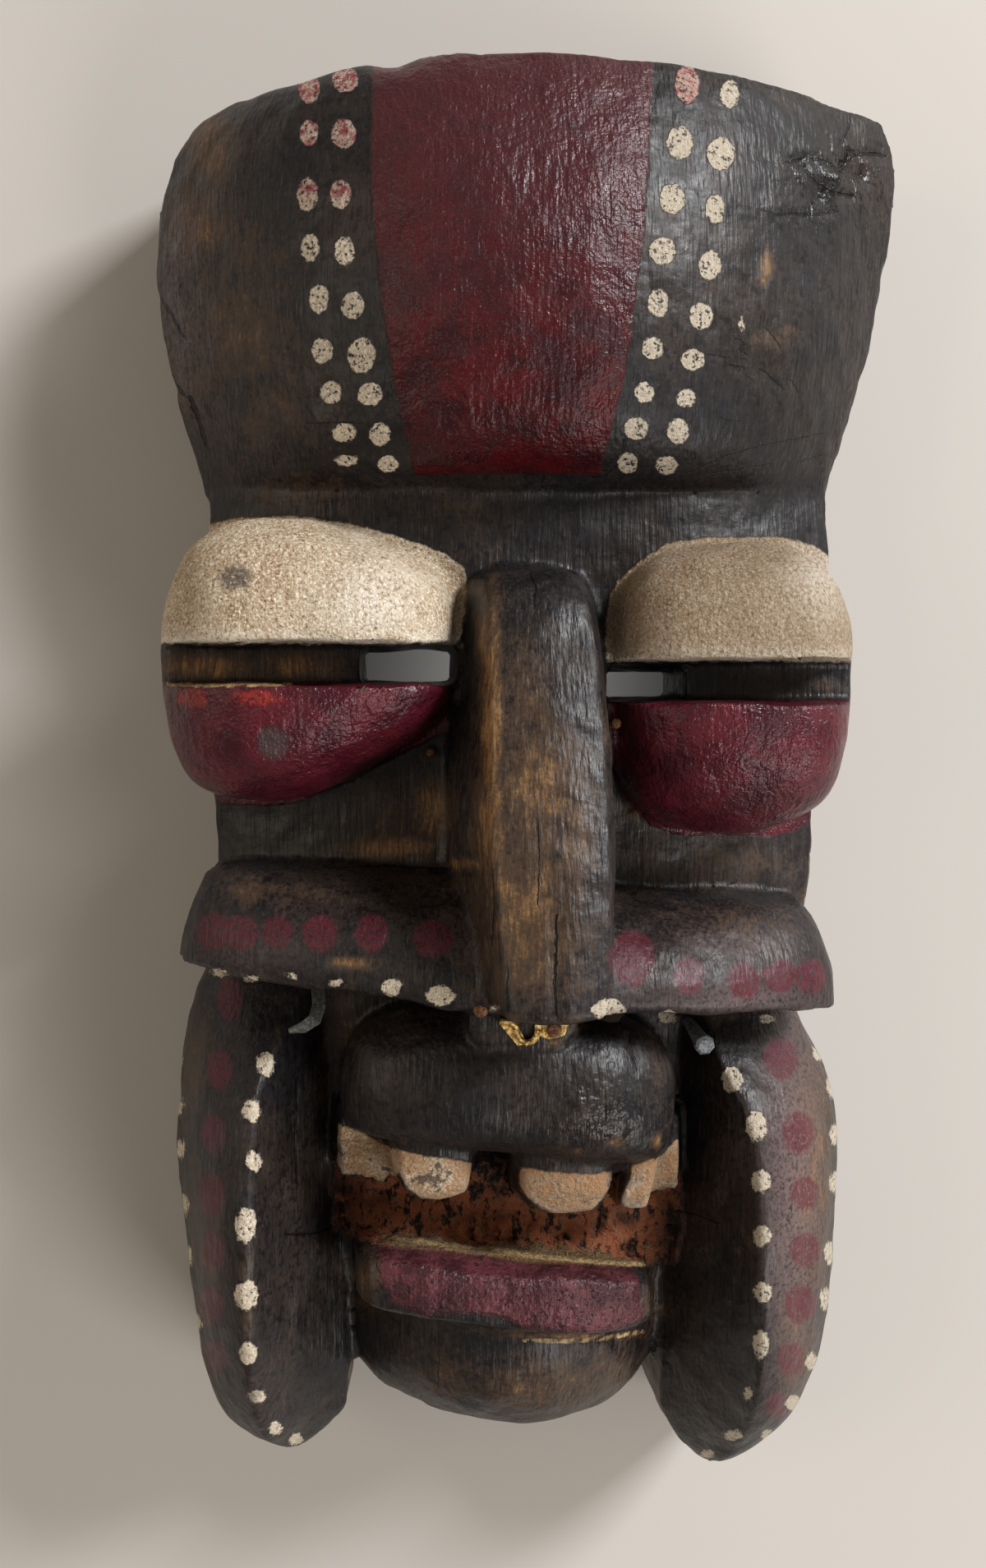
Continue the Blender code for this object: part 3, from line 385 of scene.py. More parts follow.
def carve_body():
    """Even out the solid's surface, then work the cuts, waves and cracks into it."""
    solid = frame["nodes"]["mask"]
    mesh = solid.data.copy()
    shape = bmesh.new()
    shape.from_mesh(mesh)
    bmesh.ops.remove_doubles(shape, verts=shape.verts, dist=1e-6)
    shape.to_mesh(mesh)
    shape.free()
    body = bpy.data.objects.new("carved_body", mesh)
    bpy.context.scene.collection.objects.link(body)
    even = body.modifiers.new("even", "REMESH")
    even.mode = "VOXEL"
    even.voxel_size = VOXEL * MM
    onto = body.modifiers.new("onto", "SHRINKWRAP")
    onto.wrap_method = "NEAREST_SURFACEPOINT"
    onto.target = solid
    mesh = evaluated_copy(body)
    body.modifiers.clear()
    body.data = mesh

    edges = mesh_edges(mesh)
    points = faired(mesh_points(mesh), mesh_normals(mesh), edges, **FAIRING)
    set_points(mesh, points)

    normals = mesh_normals(mesh)
    x, y, z = points.T
    u, v = seen_at(points)
    to_view = VIEW_FROM - points
    to_view /= np.linalg.norm(to_view, axis=1)[:, None]
    facing = (normals * to_view).sum(1)
    mesh.attributes.new("inside", "FLOAT", "POINT").data.foreach_set(
        "value", hollow_points(points, normals, edges).astype(np.float32))
    outside = soft_step(-0.35, 0.0, facing) * soft_step(0.5, 4.0, z)
    side = outside * soft_step(0.55, 0.1, normals[:, 2])

    out = wave_sum(points, SURFACE_WAVES)
    out -= (OUTER_CUT_DEPTH + SIDE_CUT_DEPTH * side) * (blade_cuts(points, *OUTER_CUTS) - 0.55)
    mouth = outline_depth(u, v, MOUTH_OUTLINE)
    rough = soft_step(-2, 10, mouth) * soft_step(70, 64, z)
    out += rough * wave_sum(points, MOUTH_CRUMBS)
    out += glow(u, v, KNOT) * wave_sum(points, KNOT_LUMPS)
    out *= outside
    for path, half_wide, depth in CRACKS:
        gap = path_distance(u, v, path) * UNIT
        wide = max(half_wide, CRACK_LEAST_HALF_WIDTH)
        out -= CRACK_SHARE * depth * np.exp(-(gap / wide) ** 2) * outside
    ledge = path_distance(u, v, LEDGE) * UNIT
    out -= LEDGE_DEPTH * np.exp(-(ledge / LEDGE_HALF_WIDTH) ** 2) * outside
    hollow = (1 - soft_step(-0.35, 0.0, facing)) * soft_step(1.0, 4.0, z)
    out -= hollow * HOLLOW_CUT_DEPTH * blade_cuts(points, *HOLLOW_CUTS)
    points = points + normals * out[:, None]

    # Cut the mouth back between the teeth, and the notch into the top edge
    below_lip = v - np.interp(u, *zip(*LIP_EDGE))
    teeth = np.max([outline_depth(u, v, tooth) for tooth in TEETH_OUTLINES], axis=0)
    shave = soft_step(2, 8, below_lip) * soft_step(0, 6, LOWER_LIP_TOP - v) * (z > MOUTH_BACK)
    shave *= soft_step(-6, 0, mouth) * (y > TEETH_FROM) * (y < TEETH_TO)
    points[:, 2] -= shave * np.clip(-teeth * UNIT * 3.0, 0, np.maximum(z - MOUTH_BACK, 0))
    notch = np.exp(-((u - NOTCH_MIDDLE) / NOTCH_HALF_WIDTH) ** 2)
    points[:, 1] -= NOTCH_DEPTH * notch * soft_step(186, 191, y)
    points = np.clip(points, np.array(cad_low) / MM, np.array(cad_high) / MM)
    set_points(mesh, points)

    # Thin out the hollow and then the walls, which are plain, and keep the mesh fine where
    # the paint is
    mesh.calc_loop_triangles()
    corners = np.empty(len(mesh.loop_triangles) * 3, np.int32)
    mesh.loop_triangles.foreach_get("vertices", corners)
    in_hollow = hollow > 0.5
    in_walls = (facing < WALL_FACING) & ~in_hollow
    hollow_count = in_hollow[corners.reshape(-1, 3)].all(1).sum()
    before = len(corners) // 3
    after = before - hollow_count * (1 - HOLLOW_KEPT)
    for title, chosen, ratio in (("hollow", in_hollow, after / before),
                                 ("walls", in_walls, MOST_TRIANGLES / after)):
        group = body.vertex_groups.new(name=title)
        group.add(np.flatnonzero(chosen).tolist(), 1.0, "REPLACE")
        thin = body.modifiers.new(title, "DECIMATE")
        thin.vertex_group = title
        thin.ratio = min(1.0, ratio)
    body.data = evaluated_copy(body)
    body.modifiers.clear()
    body.vertex_groups.clear()
    body.data.shade_smooth()
    return body


# Outlines of the painted areas, as seen
MOUTH_OUTLINE = [(405, 1395), (470, 1380), (600, 1405), (822, 1400), (830, 1490), (822, 1535),
                 (730, 1540), (600, 1528), (470, 1515), (408, 1495)]
LEFT_UPPER_LID = [(120, 810), (120, 640), (204, 660), (224, 652), (248, 640), (290, 630),
                  (360, 628), (424, 637), (483, 653), (536, 672), (566, 692), (569, 716),
                  (561, 776), (559, 810)]
RIGHT_UPPER_LID = [(736, 815), (738, 740), (750, 708), (776, 686), (810, 662), (852, 655),
                   (951, 654), (990, 664), (1014, 682), (1060, 690), (1110, 760), (1110, 830)]
LEFT_LOWER_LID = [(120, 830), (120, 960), (210, 925), (226, 948), (250, 968), (273, 979),
                  (325, 980), (362, 977), (415, 952), (545, 890), (547, 826)]
RIGHT_LOWER_LID = [(742, 845), (746, 900), (750, 950), (766, 976), (790, 1002), (817, 1015),
                   (937, 1018), (972, 1010), (1000, 992), (1100, 960), (1100, 845)]
LOWER_LIP_OUTLINE = [(462, 1518), (500, 1520), (576, 1527), (650, 1538), (735, 1541),
                     (774, 1546), (779, 1580), (781, 1604), (760, 1614), (726, 1622),
                     (690, 1624), (640, 1616), (600, 1602), (560, 1598), (520, 1600),
                     (478, 1588), (462, 1560)]
# Lower edge of the upper lip as seen, then the outline of each tooth below it
LIP_EDGE = [(380, 1360), (400, 1366), (444, 1382), (473, 1398), (517, 1410), (564, 1414),
            (582, 1421), (629, 1421), (664, 1428), (693, 1431), (723, 1431), (767, 1422),
            (805, 1409), (818, 1394), (840, 1380)]
TEETH_OUTLINES = [
    [(398, 1340), (486, 1350), (486, 1420), (480, 1441), (445, 1436), (402, 1424)],
    [(474, 1350), (582, 1360), (579, 1444), (566, 1459), (542, 1464), (510, 1458),
     (494, 1446), (484, 1420)],
    [(628, 1360), (744, 1360), (743, 1446), (731, 1462), (715, 1480), (697, 1484),
     (676, 1479), (650, 1466), (633, 1448)],
    [(768, 1360), (806, 1360), (803, 1456), (794, 1472), (778, 1480), (768, 1472),
     (754, 1465), (760, 1448), (768, 1430)],
    [(803, 1360), (834, 1360), (832, 1470), (812, 1466), (803, 1462)],
]
# Raw strip along the lower lip's top edge
RAW_TOP = [(458, 1486), (560, 1496), (640, 1504), (720, 1518), (786, 1526), (786, 1536),
           (737, 1541), (635, 1538), (576, 1527), (482, 1517), (462, 1506)]
# Side edges of the forehead stripe, down the picture and then across
STRIPE_LEFT = [(40, 455), (73, 453), (236, 451), (365, 464), (458, 479), (517, 490), (575, 505)]
STRIPE_RIGHT = [(40, 795), (77, 794), (151, 792), (262, 785), (354, 774), (440, 763),
                (506, 748), (585, 727)]
STRIPE_TOP = 30
STRIPE_FOOT = 577
# Dots: middle as seen, then half width and half height where they aren't the usual ones
FOREHEAD_DOTS = [
    (376, 108, 13, 17), (420, 97, 15, 16), (376, 162, 12, 17), (418, 163, 14, 18),
    (374, 237, 13, 19), (414, 236, 13, 19), (377, 301, 10.5, 18), (419, 306, 13, 17),
    (388, 364, 12, 17), (429, 372, 14, 18), (392, 427, 14, 16), (440, 433, 16, 20),
    (403, 478, 14, 14), (450, 480, 15, 16), (419, 527, 14, 12), (462, 529, 14, 14),
    (422, 561, 14, 7), (472, 565, 13, 11), (836, 103, 16, 23), (888, 115, 11, 17),
    (827, 174, 17, 22), (877, 187, 17, 21), (818, 242, 15, 17.5), (870, 255, 13, 18),
    (806, 306, 15.5, 18.5), (864, 323, 14, 18), (801, 369, 13, 17), (853, 385, 14, 17),
    (794, 424, 14, 15), (843, 438, 14, 13), (784, 478, 12, 12.5), (835, 485, 13, 12.5),
    (774, 522, 14, 14.5), (825, 525, 14, 15), (764, 564, 12.5, 12.5), (811, 567, 13, 12.5),
]
EDGE_DOTS = [
    (323, 1295), (306, 1353), (308, 1415), (299, 1492, 12, 21), (300, 1577, 15, 17), (303, 1647),
    (313, 1700, 11, 8), (335, 1739, 9, 8), (360, 1753, 9, 8), (891, 1314, 13, 17),
    (920, 1371, 14, 19), (926, 1438), (927, 1505), (928, 1573), (926, 1637, 10, 17),
    (910, 1696, 6, 8), (892, 1747, 10, 7), (861, 1770, 9, 6), (221, 1237, 6, 10),
    (216, 1290, 6, 12), (218, 1345, 6, 12), (220, 1399, 6, 12), (224, 1467, 6, 12),
    (229, 1529, 6, 12), (240, 1610, 6, 12), (997, 1278, 9, 13), (1013, 1321, 8, 14),
    (1018, 1381, 8, 14), (1016, 1440, 8, 14), (1011, 1526, 8, 14), (1005, 1582, 7, 13),
    (988, 1658, 8, 12), (965, 1708, 9, 10), (935, 1748, 9, 7), (267, 1184, 11, 5),
    (306, 1191, 9, 5), (356, 1188, 9, 4), (409, 1197, 10, 4), (477, 1202, 13, 11),
    (536, 1212, 18, 13), (741, 1230, 19, 14), (811, 1238, 14, 8), (934, 1240, 9, 6),
    (1011, 1230, 9, 6), (902, 395, 4, 7), (601, 1228, 5, 4),
]
RED_DOTS = [
    (259, 1133), (293, 1136), (337, 1134), (389, 1136), (452, 1136), (527, 1143, 26, 24),
    (770, 1167, 26, 36), (838, 1188), (905, 1194), (949, 1188), (987, 1188),
    (279, 1216, 14, 24), (267, 1303, 16, 24), (259, 1380, 15, 25), (258, 1455, 15, 25),
    (259, 1525, 15, 25), (255, 1589, 15, 24), (261, 1652, 15, 20), (950, 1289, 22, 24),
    (972, 1379, 18, 24), (979, 1453, 18, 22), (979, 1522, 18, 22), (974, 1588, 18, 22),
    (963, 1654, 17, 20), (946, 1710, 14, 16),
]
# Places rubbed down to pale wood: middle as seen, half width, half height, strength
RUBBED = [
    (598, 880, 14, 150, 1.0), (596, 1010, 22, 70, 0.9), (640, 860, 40, 90, 0.40),
    (655, 960, 60, 90, 0.62), (640, 1120, 80, 110, 0.62), (700, 1010, 30, 120, 0.5),
    (470, 1000, 80, 40, 0.4), (525, 985, 30, 40, 0.8), (475, 1032, 62, 15, 1.0),
    (860, 1050, 110, 34, 0.40), (640, 940, 16, 14, 0.8), (610, 1080, 18, 30, 0.8),
    (560, 1052, 60, 8, 0.8), (990, 1090, 14, 14, 0.7), (425, 1172, 26, 8, 0.9),
    (933, 321, 9, 22, 0.75), (929, 343, 6, 8, 0.7), (938, 416, 30, 14, 0.45),
    (960, 403, 10, 6, 0.6), (255, 180, 36, 60, 0.62), (245, 270, 50, 60, 0.50),
    (290, 400, 60, 70, 0.50), (240, 470, 50, 60, 0.3), (300, 330, 50, 60, 0.35),
    (330, 500, 70, 60, 0.35), (560, 620, 50, 20, 0.2), (360, 600, 70, 22, 0.40),
    (660, 1690, 100, 40, 0.46), (540, 1680, 70, 40, 0.32), (742, 1672, 40, 36, 0.45),
    (395, 1320, 14, 80, 0.35), (990, 1420, 26, 170, 0.60), (970, 1640, 26, 80, 0.50),
    (800, 1040, 60, 40, 0.2), (672, 1269, 14, 4, 1.0), (704, 1627, 80, 3.5, 1.0),
    (620, 1620, 60, 4, 0.4), (420, 1240, 16, 40, 0.55), (780, 985, 20, 18, 0.6),
    (742, 860, 8, 50, 0.5), (800, 1330, 20, 60, 0.2), (255, 812, 60, 18, 0.85),
    (360, 812, 60, 18, 0.7), (640, 1518, 165, 12, 0.85), (480, 1503, 40, 10, 0.85),
    (1010, 1400, 14, 60, 0.3), (872, 300, 40, 60, 0.12), (1060, 330, 20, 80, 0.15),
    (640, 740, 26, 30, 0.08), (590, 780, 12, 50, 0.6), (749, 1390, 12, 8, 0.7),
    (799, 1390, 6, 10, 0.8), (703, 1401, 5, 4, 0.8), (235, 1300, 30, 80, 0.35),
    (250, 1500, 26, 160, 0.30), (1005, 835, 30, 14, 0.35), (520, 680, 50, 20, 0.25),
    (350, 1090, 90, 20, 0.25), (880, 1120, 110, 30, 0.30), (300, 1085, 40, 20, 0.4),
    (445, 1560, 26, 40, 0.5), (800, 1580, 16, 40, 0.6), (700, 1250, 60, 10, 0.3),
]
# Lumpy glossy places: middle as seen, half width, half height, strength
LUMPY = [(1020, 212, 60, 42, 1.0), (985, 255, 50, 20, 0.6), (215, 430, 30, 110, 0.7),
         (735, 1360, 60, 45, 0.9), (520, 1260, 50, 30, 0.5), (760, 1640, 40, 22, 0.6)]
# Dusty mauve veil and painted shade in corners and under overhangs, written the same way
DUSTY = [(965, 1440, 34, 230, 0.75), (905, 1214, 90, 20, 0.55), (760, 1590, 26, 24, 0.35),
         (900, 1150, 90, 24, 0.30), (215, 300, 22, 50, 0.4), (225, 400, 26, 90, 0.35),
         (290, 1160, 70, 30, 0.22)]
PAINTED_SHADE_SPOTS = [(370, 1010, 120, 34, 0.95), (560, 560, 60, 40, 0.6), (600, 1285, 150, 16, 0.6),
        (500, 650, 60, 60, 0.3), (430, 560, 90, 60, 0.4), (770, 700, 30, 40, 0.5),
        (960, 500, 90, 90, 0.35), (420, 1240, 60, 26, 0.5), (720, 520, 40, 60, 0.3),
        (412, 1460, 26, 50, 0.95), (822, 1500, 24, 50, 0.95), (610, 1440, 26, 22, 0.7),
        (450, 1462, 40, 12, 0.6), (760, 1483, 16, 12, 0.9), (560, 1478, 70, 10, 0.5)]
# Thin lines of raw wood along split edges, with their half width in millimetres
RAW_EDGES = [
    ([(466, 1505), (530, 1514), (600, 1520), (650, 1529), (700, 1534), (745, 1538),
      (784, 1539)], 0.62),
    ([(636, 1632), (690, 1633), (735, 1630), (782, 1621)], 0.55),
    ([(198, 833), (280, 835), (356, 833)], 0.45),
]
# Grey worn spots and bright red smears: middle as seen, half width and half height
GREY_SPOTS = [(332, 904, 18, 19), (287, 703, 18, 14), (305, 1700, 10, 8)]
RED_SMEARS = [(234, 850, 18, 10), (313, 850, 26, 9), (381, 755, 14, 5), (355, 740, 8, 5)]
# Chalky patches on the upper lids, written the same way
CHALK_INNER = (455, 735, 55, 50)
CHALK_OUTER = (1000, 700, 40, 60)
# Middle line of the face as seen, and the upper lids' lower edges left and right of it
NOSE_MIDDLE = 640
LID_FEET = (784, 802)
# Photo column in the stripe, between the left and the right rows of forehead dots
STRIPE_MIDDLE = 600
# Heights on the face of the two eye slots: top and foot, left and right, in millimetres
SLOT_TOPS = (46.2, 41.8)
SLOT_FEET = (36.2, 31.8)
# Levels above the floor from which the lids and the teeth are painted, and up to which the
# mouth's back wall is bare
LID_LEVEL = 46
TOOTH_LEVEL = 63
MOUTH_LEVEL = 72
# Depth given to points that no paint reaches
NO_PAINT = -9


def paint_fields(body):
    """Store on each point how deep it lies, in millimetres, inside every painted area."""
    mesh = body.data
    points = mesh_points(mesh)
    normals = mesh_normals(mesh)
    edges = mesh_edges(mesh)
    x, y, z = points.T
    u, v = seen_at(points)
    to_view = VIEW_FROM - points
    to_view /= np.linalg.norm(to_view, axis=1)[:, None]
    facing = (normals * to_view).sum(1)
    inside = np.empty(len(points), np.float32)
    mesh.attributes["inside"].data.foreach_get("value", inside)
    inner = inside > 0.5
    facing[inner] = -1
    # A paint's depth runs out where the surface turns away, sooner or later round the form
    shown = facing * 30 + 3
    wrapped = facing * 30 + 12
    deep = np.minimum(wrapped, z - LID_LEVEL)
    ahead_only = facing * 30 - 1

    lid_foot = np.where(u < NOSE_MIDDLE, *LID_FEET)
    slot_top = np.where(x < 0, *SLOT_TOPS)
    slot_foot = np.where(x < 0, *SLOT_FEET)
    upper = np.maximum(outline_depth(u, v, LEFT_UPPER_LID), outline_depth(u, v, RIGHT_UPPER_LID))
    lower = np.maximum(outline_depth(u, v, LEFT_LOWER_LID), outline_depth(u, v, RIGHT_LOWER_LID))
    teeth = np.max([outline_depth(u, v, tooth) for tooth in TEETH_OUTLINES], axis=0)
    below_lip = v - np.interp(u, *zip(*LIP_EDGE))
    teeth_level = np.minimum(z - TOOTH_LEVEL, below_lip * UNIT + 0.4)
    stripe = between(u, v, STRIPE_LEFT, STRIPE_RIGHT, STRIPE_TOP, STRIPE_FOOT)
    fields = {
        "stripe": np.minimum(stripe * UNIT, shown),
        "upper_lid": np.min([upper * UNIT, y - slot_top, deep], axis=0),
        "lower_lid": np.min([lower * UNIT, slot_foot - y, deep], axis=0),
        "cream_dot": np.minimum(spots_depth(u, v, FOREHEAD_DOTS, 14.5, 19) * UNIT, shown),
        "edge_dot": np.minimum(spots_depth(u, v, EDGE_DOTS, 11.5, 14) * UNIT, ahead_only),
        "red_dot": np.minimum(spots_depth(u, v, RED_DOTS, 20, 22) * UNIT, ahead_only),
        "tooth": np.min([teeth * UNIT, teeth_level, shown + 10], axis=0),
        "mouth": np.minimum(outline_depth(u, v, MOUTH_OUTLINE) * UNIT, MOUTH_LEVEL - z),
        "raw_top": np.min([outline_depth(u, v, RAW_TOP) * UNIT, z - TOOTH_LEVEL], axis=0),
        "lip": np.minimum(outline_depth(u, v, LOWER_LIP_OUTLINE) * UNIT, shown),
        "chalk": np.clip(np.maximum.reduce([
            np.exp(-((v - lid_foot) / 15) ** 2) * np.where(u < NOSE_MIDDLE, 0.75, 0.30),
            0.85 * glow(u, v, CHALK_INNER),
            0.4 * glow(u, v, CHALK_OUTER)]), 0, 1),
        "pink": np.maximum((u < STRIPE_MIDDLE) * soft_step(258, 236, v),
                           (u > STRIPE_MIDDLE) * soft_step(138, 124, v)
                           * soft_step(870, 850, u)),
        "grey_spot": spots_depth(u, v, GREY_SPOTS, 16, 16) * UNIT,
        "red_smear": spots_depth(u, v, RED_SMEARS, 16, 8) * UNIT,
    }
    fields = {title: np.where(inner, np.minimum(depth, NO_PAINT), depth)
              for title, depth in fields.items()}
    rubbed = np.zeros(len(points))
    for middle_u, middle_v, wide, high, strength in RUBBED:
        reach = ((u - middle_u) / wide) ** 2 + ((v - middle_v) / high) ** 2
        rubbed = np.maximum(rubbed, strength * np.exp(-reach * 0.9))
    fields["rubbed"] = rubbed * soft_step(-0.2, 0.15, facing)
    nearest = np.full(len(points), 9.0)
    signed = np.full(len(points), 9.0)
    half = np.full(len(points), 0.3)
    for path, half_wide, depth in CRACKS:
        gap, side = path_side(u, v, path)
        gap = gap * UNIT
        closer = gap < nearest
        nearest = np.where(closer, gap, nearest)
        signed = np.where(closer, gap * side, signed)
        half = np.where(closer, half_wide, half)
    fields["crack_near"] = np.where(facing > -0.1, nearest, 9.0)
    fields["crack_side"] = np.clip(signed, -4, 4)
    fields["crack_half"] = half
    # Lumpy places, the dusty veil, and painted shade in corners and under overhangs
    for title, places in (("lumpy", LUMPY), ("dusty", DUSTY), ("painted_shade", PAINTED_SHADE_SPOTS)):
        fields[title] = soft_step(-0.2, 0.15, facing) * np.max([
            place[4] * glow(u, v, place) for place in places], axis=0)
    fields["raw_edge"] = np.max([half_wide - path_distance(u, v, path) * UNIT
                                 for path, half_wide in RAW_EDGES], axis=0)
    bend = ((points - neighbour_mean(points, edges)) * normals).sum(1)
    for _ in range(4):
        bend = neighbour_mean(bend[:, None], edges)[:, 0]
    fields["ridge"] = np.clip(bend / 0.25, -1, 1)
    fields["behind"] = 1 - soft_step(-0.45, -0.15, facing)
    for title, values in fields.items():
        attribute = mesh.attributes.new(title, "FLOAT", "POINT")
        attribute.data.foreach_set("value", values.astype(np.float32))


def put(tree, kind, inputs=None, settings=None):
    """Add a node, set its options, and join or set its inputs."""
    node = tree.nodes.new(kind)
    for name, value in (settings or {}).items():
        setattr(node, name, value)
    fill(tree, node, inputs or {})
    return node


def fill(tree, node, inputs):
    for name, value in inputs.items():
        if isinstance(value, bpy.types.NodeSocket):
            tree.links.new(value, node.inputs[name])
        else:
            node.inputs[name].default_value = value


def calc(tree, operation, a, b=0.0, clamp=False):
    return put(tree, "ShaderNodeMath", {0: a, 1: b},
               {"operation": operation, "use_clamp": clamp}).outputs[0]


def from_middle(tree, value, share):
    """How far a noise lies above its middle value of a half, times a share."""
    return calc(tree, "MULTIPLY", calc(tree, "SUBTRACT", value, 0.5), share)


def blend(tree, amount, under, over):
    """Colour that goes from under to over as the amount goes from 0 to 1."""
    colours = [value if isinstance(value, bpy.types.NodeSocket) else (*value, 1)
               for value in (under, over)]
    return put(tree, "ShaderNodeMix", {0: amount, 6: colours[0], 7: colours[1]},
               {"data_type": "RGBA"}).outputs[2]


def spread(tree, value, low, high, start=0.0, end=1.0):
    """Carry a value from one range into another, smoothly and clamped."""
    return put(tree, "ShaderNodeMapRange",
               {"Value": value, "From Min": low, "From Max": high, "To Min": start,
                "To Max": end}, {"interpolation_type": "SMOOTHSTEP"}).outputs[0]


def layered(tree, colour, *layers):
    """Lay shades over a colour: each layer gives a pattern, the two values between which the
    shade comes in, the share of it at most, and the shade."""
    for look, low, high, share, shade in layers:
        colour = blend(tree, spread(tree, look, low, high, 0.0, share), colour, shade)
    return colour


def noise(tree, place, scale, detail=3.0, roughness=0.55, stretch=None):
    """Noise at a place in millimetres; a stretch squeezes the place along each axis first."""
    if stretch:
        place = put(tree, "ShaderNodeVectorMath", {0: place, 1: stretch},
                    {"operation": "MULTIPLY"}).outputs[0]
    return put(tree, "ShaderNodeTexNoise", {"Vector": place, "Scale": scale, "Detail": detail,
                                            "Roughness": roughness}).outputs[0]


def new_material(title):
    """A material, its node tree, its shader and the place on the piece in millimetres."""
    material = bpy.data.materials.new(title)
    material.use_nodes = True
    tree = material.node_tree
    position = tree.nodes.new("ShaderNodeTexCoord").outputs["Object"]
    place = put(tree, "ShaderNodeVectorMath", {0: position, "Scale": 1 / MM},
                {"operation": "SCALE"}).outputs[0]
    return material, tree, tree.nodes["Principled BSDF"], place


def add_bump(tree, shader, height, deep):
    """Raise the surface by a height of 0 to 1 times a depth in metres."""
    bump = put(tree, "ShaderNodeBump", {"Height": height, "Strength": 1.0, "Distance": deep})
    tree.links.new(bump.outputs[0], shader.inputs["Normal"])


def new_group(title, inputs, outputs):
    """Shader group with named sockets; returns the tree, its input node and its output node."""
    tree = bpy.data.node_groups.new(title, "ShaderNodeTree")
    for name, kind in inputs:
        tree.interface.new_socket(name=name, in_out="INPUT", socket_type="NodeSocket" + kind)
    for name, kind in outputs:
        tree.interface.new_socket(name=name, in_out="OUTPUT", socket_type="NodeSocket" + kind)
    return tree, tree.nodes.new("NodeGroupInput"), tree.nodes.new("NodeGroupOutput")


def make_paint_edge():
    """Mask of a hand-painted area from its depth field: the edge wanders and the paint has
    worn or flaked away in small bites."""
    tree, given, result = new_group(
        "paint_edge", [("Depth", "Float"), ("Place", "Vector"), ("Wander", "Float"),
                       ("Flaked", "Float"), ("Soft", "Float"), ("Scale", "Float")],
        [("Mask", "Float")])
    coarse = noise(tree, given.outputs["Place"], given.outputs["Scale"], 4.0, 0.65)
    wander = from_middle(tree, coarse, given.outputs["Wander"])
    depth = calc(tree, "ADD", given.outputs["Depth"], wander)
    edge = calc(tree, "DIVIDE", depth, given.outputs["Soft"])
    edge = calc(tree, "ADD", edge, 0.5, clamp=True)
    grit = noise(tree, given.outputs["Place"], 0.85, 5.0, 0.68)
    kept = spread(tree, calc(tree, "SUBTRACT", grit, given.outputs["Flaked"]), 0.0, 0.07)
    tree.links.new(calc(tree, "MULTIPLY", edge, kept), result.inputs["Mask"])
    return tree


def make_wood_grain():
    """Long pores and streaks along the log, at two widths."""
    tree, given, result = new_group(
        "wood_grain", [("Place", "Vector")], [("Streaks", "Float"), ("Pores", "Float")])
    bent = noise(tree, given.outputs["Place"], 0.05, 2.0)
    shift = put(tree, "ShaderNodeCombineXYZ", {0: calc(tree, "MULTIPLY", bent, 5.0)}).outputs[0]
    place = put(tree, "ShaderNodeVectorMath", {0: given.outputs["Place"], 1: shift},
                {"operation": "ADD"}).outputs[0]
    streaks = noise(tree, place, 0.95, 6.0, 0.74, (1.0, 0.10, 0.6))
    pores = noise(tree, place, 2.3, 4.0, 0.72, (1.0, 0.09, 0.8))
    tree.links.new(streaks, result.inputs["Streaks"])
    tree.links.new(pores, result.inputs["Pores"])
    return tree


def field(tree, title):
    """A value that paint_fields stored on the mesh."""
    return put(tree, "ShaderNodeAttribute", settings={"attribute_name": title}).outputs["Fac"]


def painted(tree, looks, title, wander, flaked, soft=0.35, scale=0.28):
    """Mask of one painted area: its edge wander and softness are in millimetres."""
    edge = put(tree, "ShaderNodeGroup", settings={"node_tree": looks.paint_edge})
    fill(tree, edge, {"Depth": field(tree, title), "Place": looks.place, "Wander": wander,
                      "Flaked": flaked, "Soft": soft, "Scale": scale})
    return edge.outputs["Mask"]


def surface_looks(tree, place):
    """The unevenness that the wood and all its paints share."""
    grain = put(tree, "ShaderNodeGroup", settings={"node_tree": make_wood_grain()})
    fill(tree, grain, {"Place": place})
    apart = put(tree, "ShaderNodeSeparateXYZ", {0: place}).outputs
    return SimpleNamespace(
        place=place, paint_edge=make_paint_edge(), across=apart[0], up=apart[1],
        streaks=grain.outputs["Streaks"], pores=grain.outputs["Pores"],
        cloud=noise(tree, place, 0.035, 5.0, 0.6), mottle=noise(tree, place, 0.16, 5.0, 0.65),
        blotch=noise(tree, place, 0.10, 5.0, 0.65), speckle=noise(tree, place, 1.9, 4.0, 0.7),
        grit=noise(tree, place, 0.9, 6.0, 0.75), crust=noise(tree, place, 0.45, 3.0, 0.6),
        ridge=field(tree, "ridge"))


CHARCOAL = (0.0105, 0.0100, 0.0115)
BROWN_STAIN = (0.027, 0.0190, 0.0155)
WORN_STREAK = (0.052, 0.037, 0.028)
PORE_BLACK = (0.004, 0.003, 0.004)
GREY_GRIT = (0.080, 0.066, 0.058)
CRUST_BLACK = (0.005, 0.004, 0.005)
BARE_WOOD = (0.110, 0.055, 0.024)
GOLDEN_WOOD = (0.29, 0.160, 0.062)
BARE_SPECK = (0.020, 0.012, 0.008)
THIN_STAIN = (0.080, 0.047, 0.026)
MAUVE_DUST = (0.165, 0.112, 0.108)
WORN_EDGE = (0.095, 0.060, 0.036)
CUT_BLACK = (0.006, 0.005, 0.006)


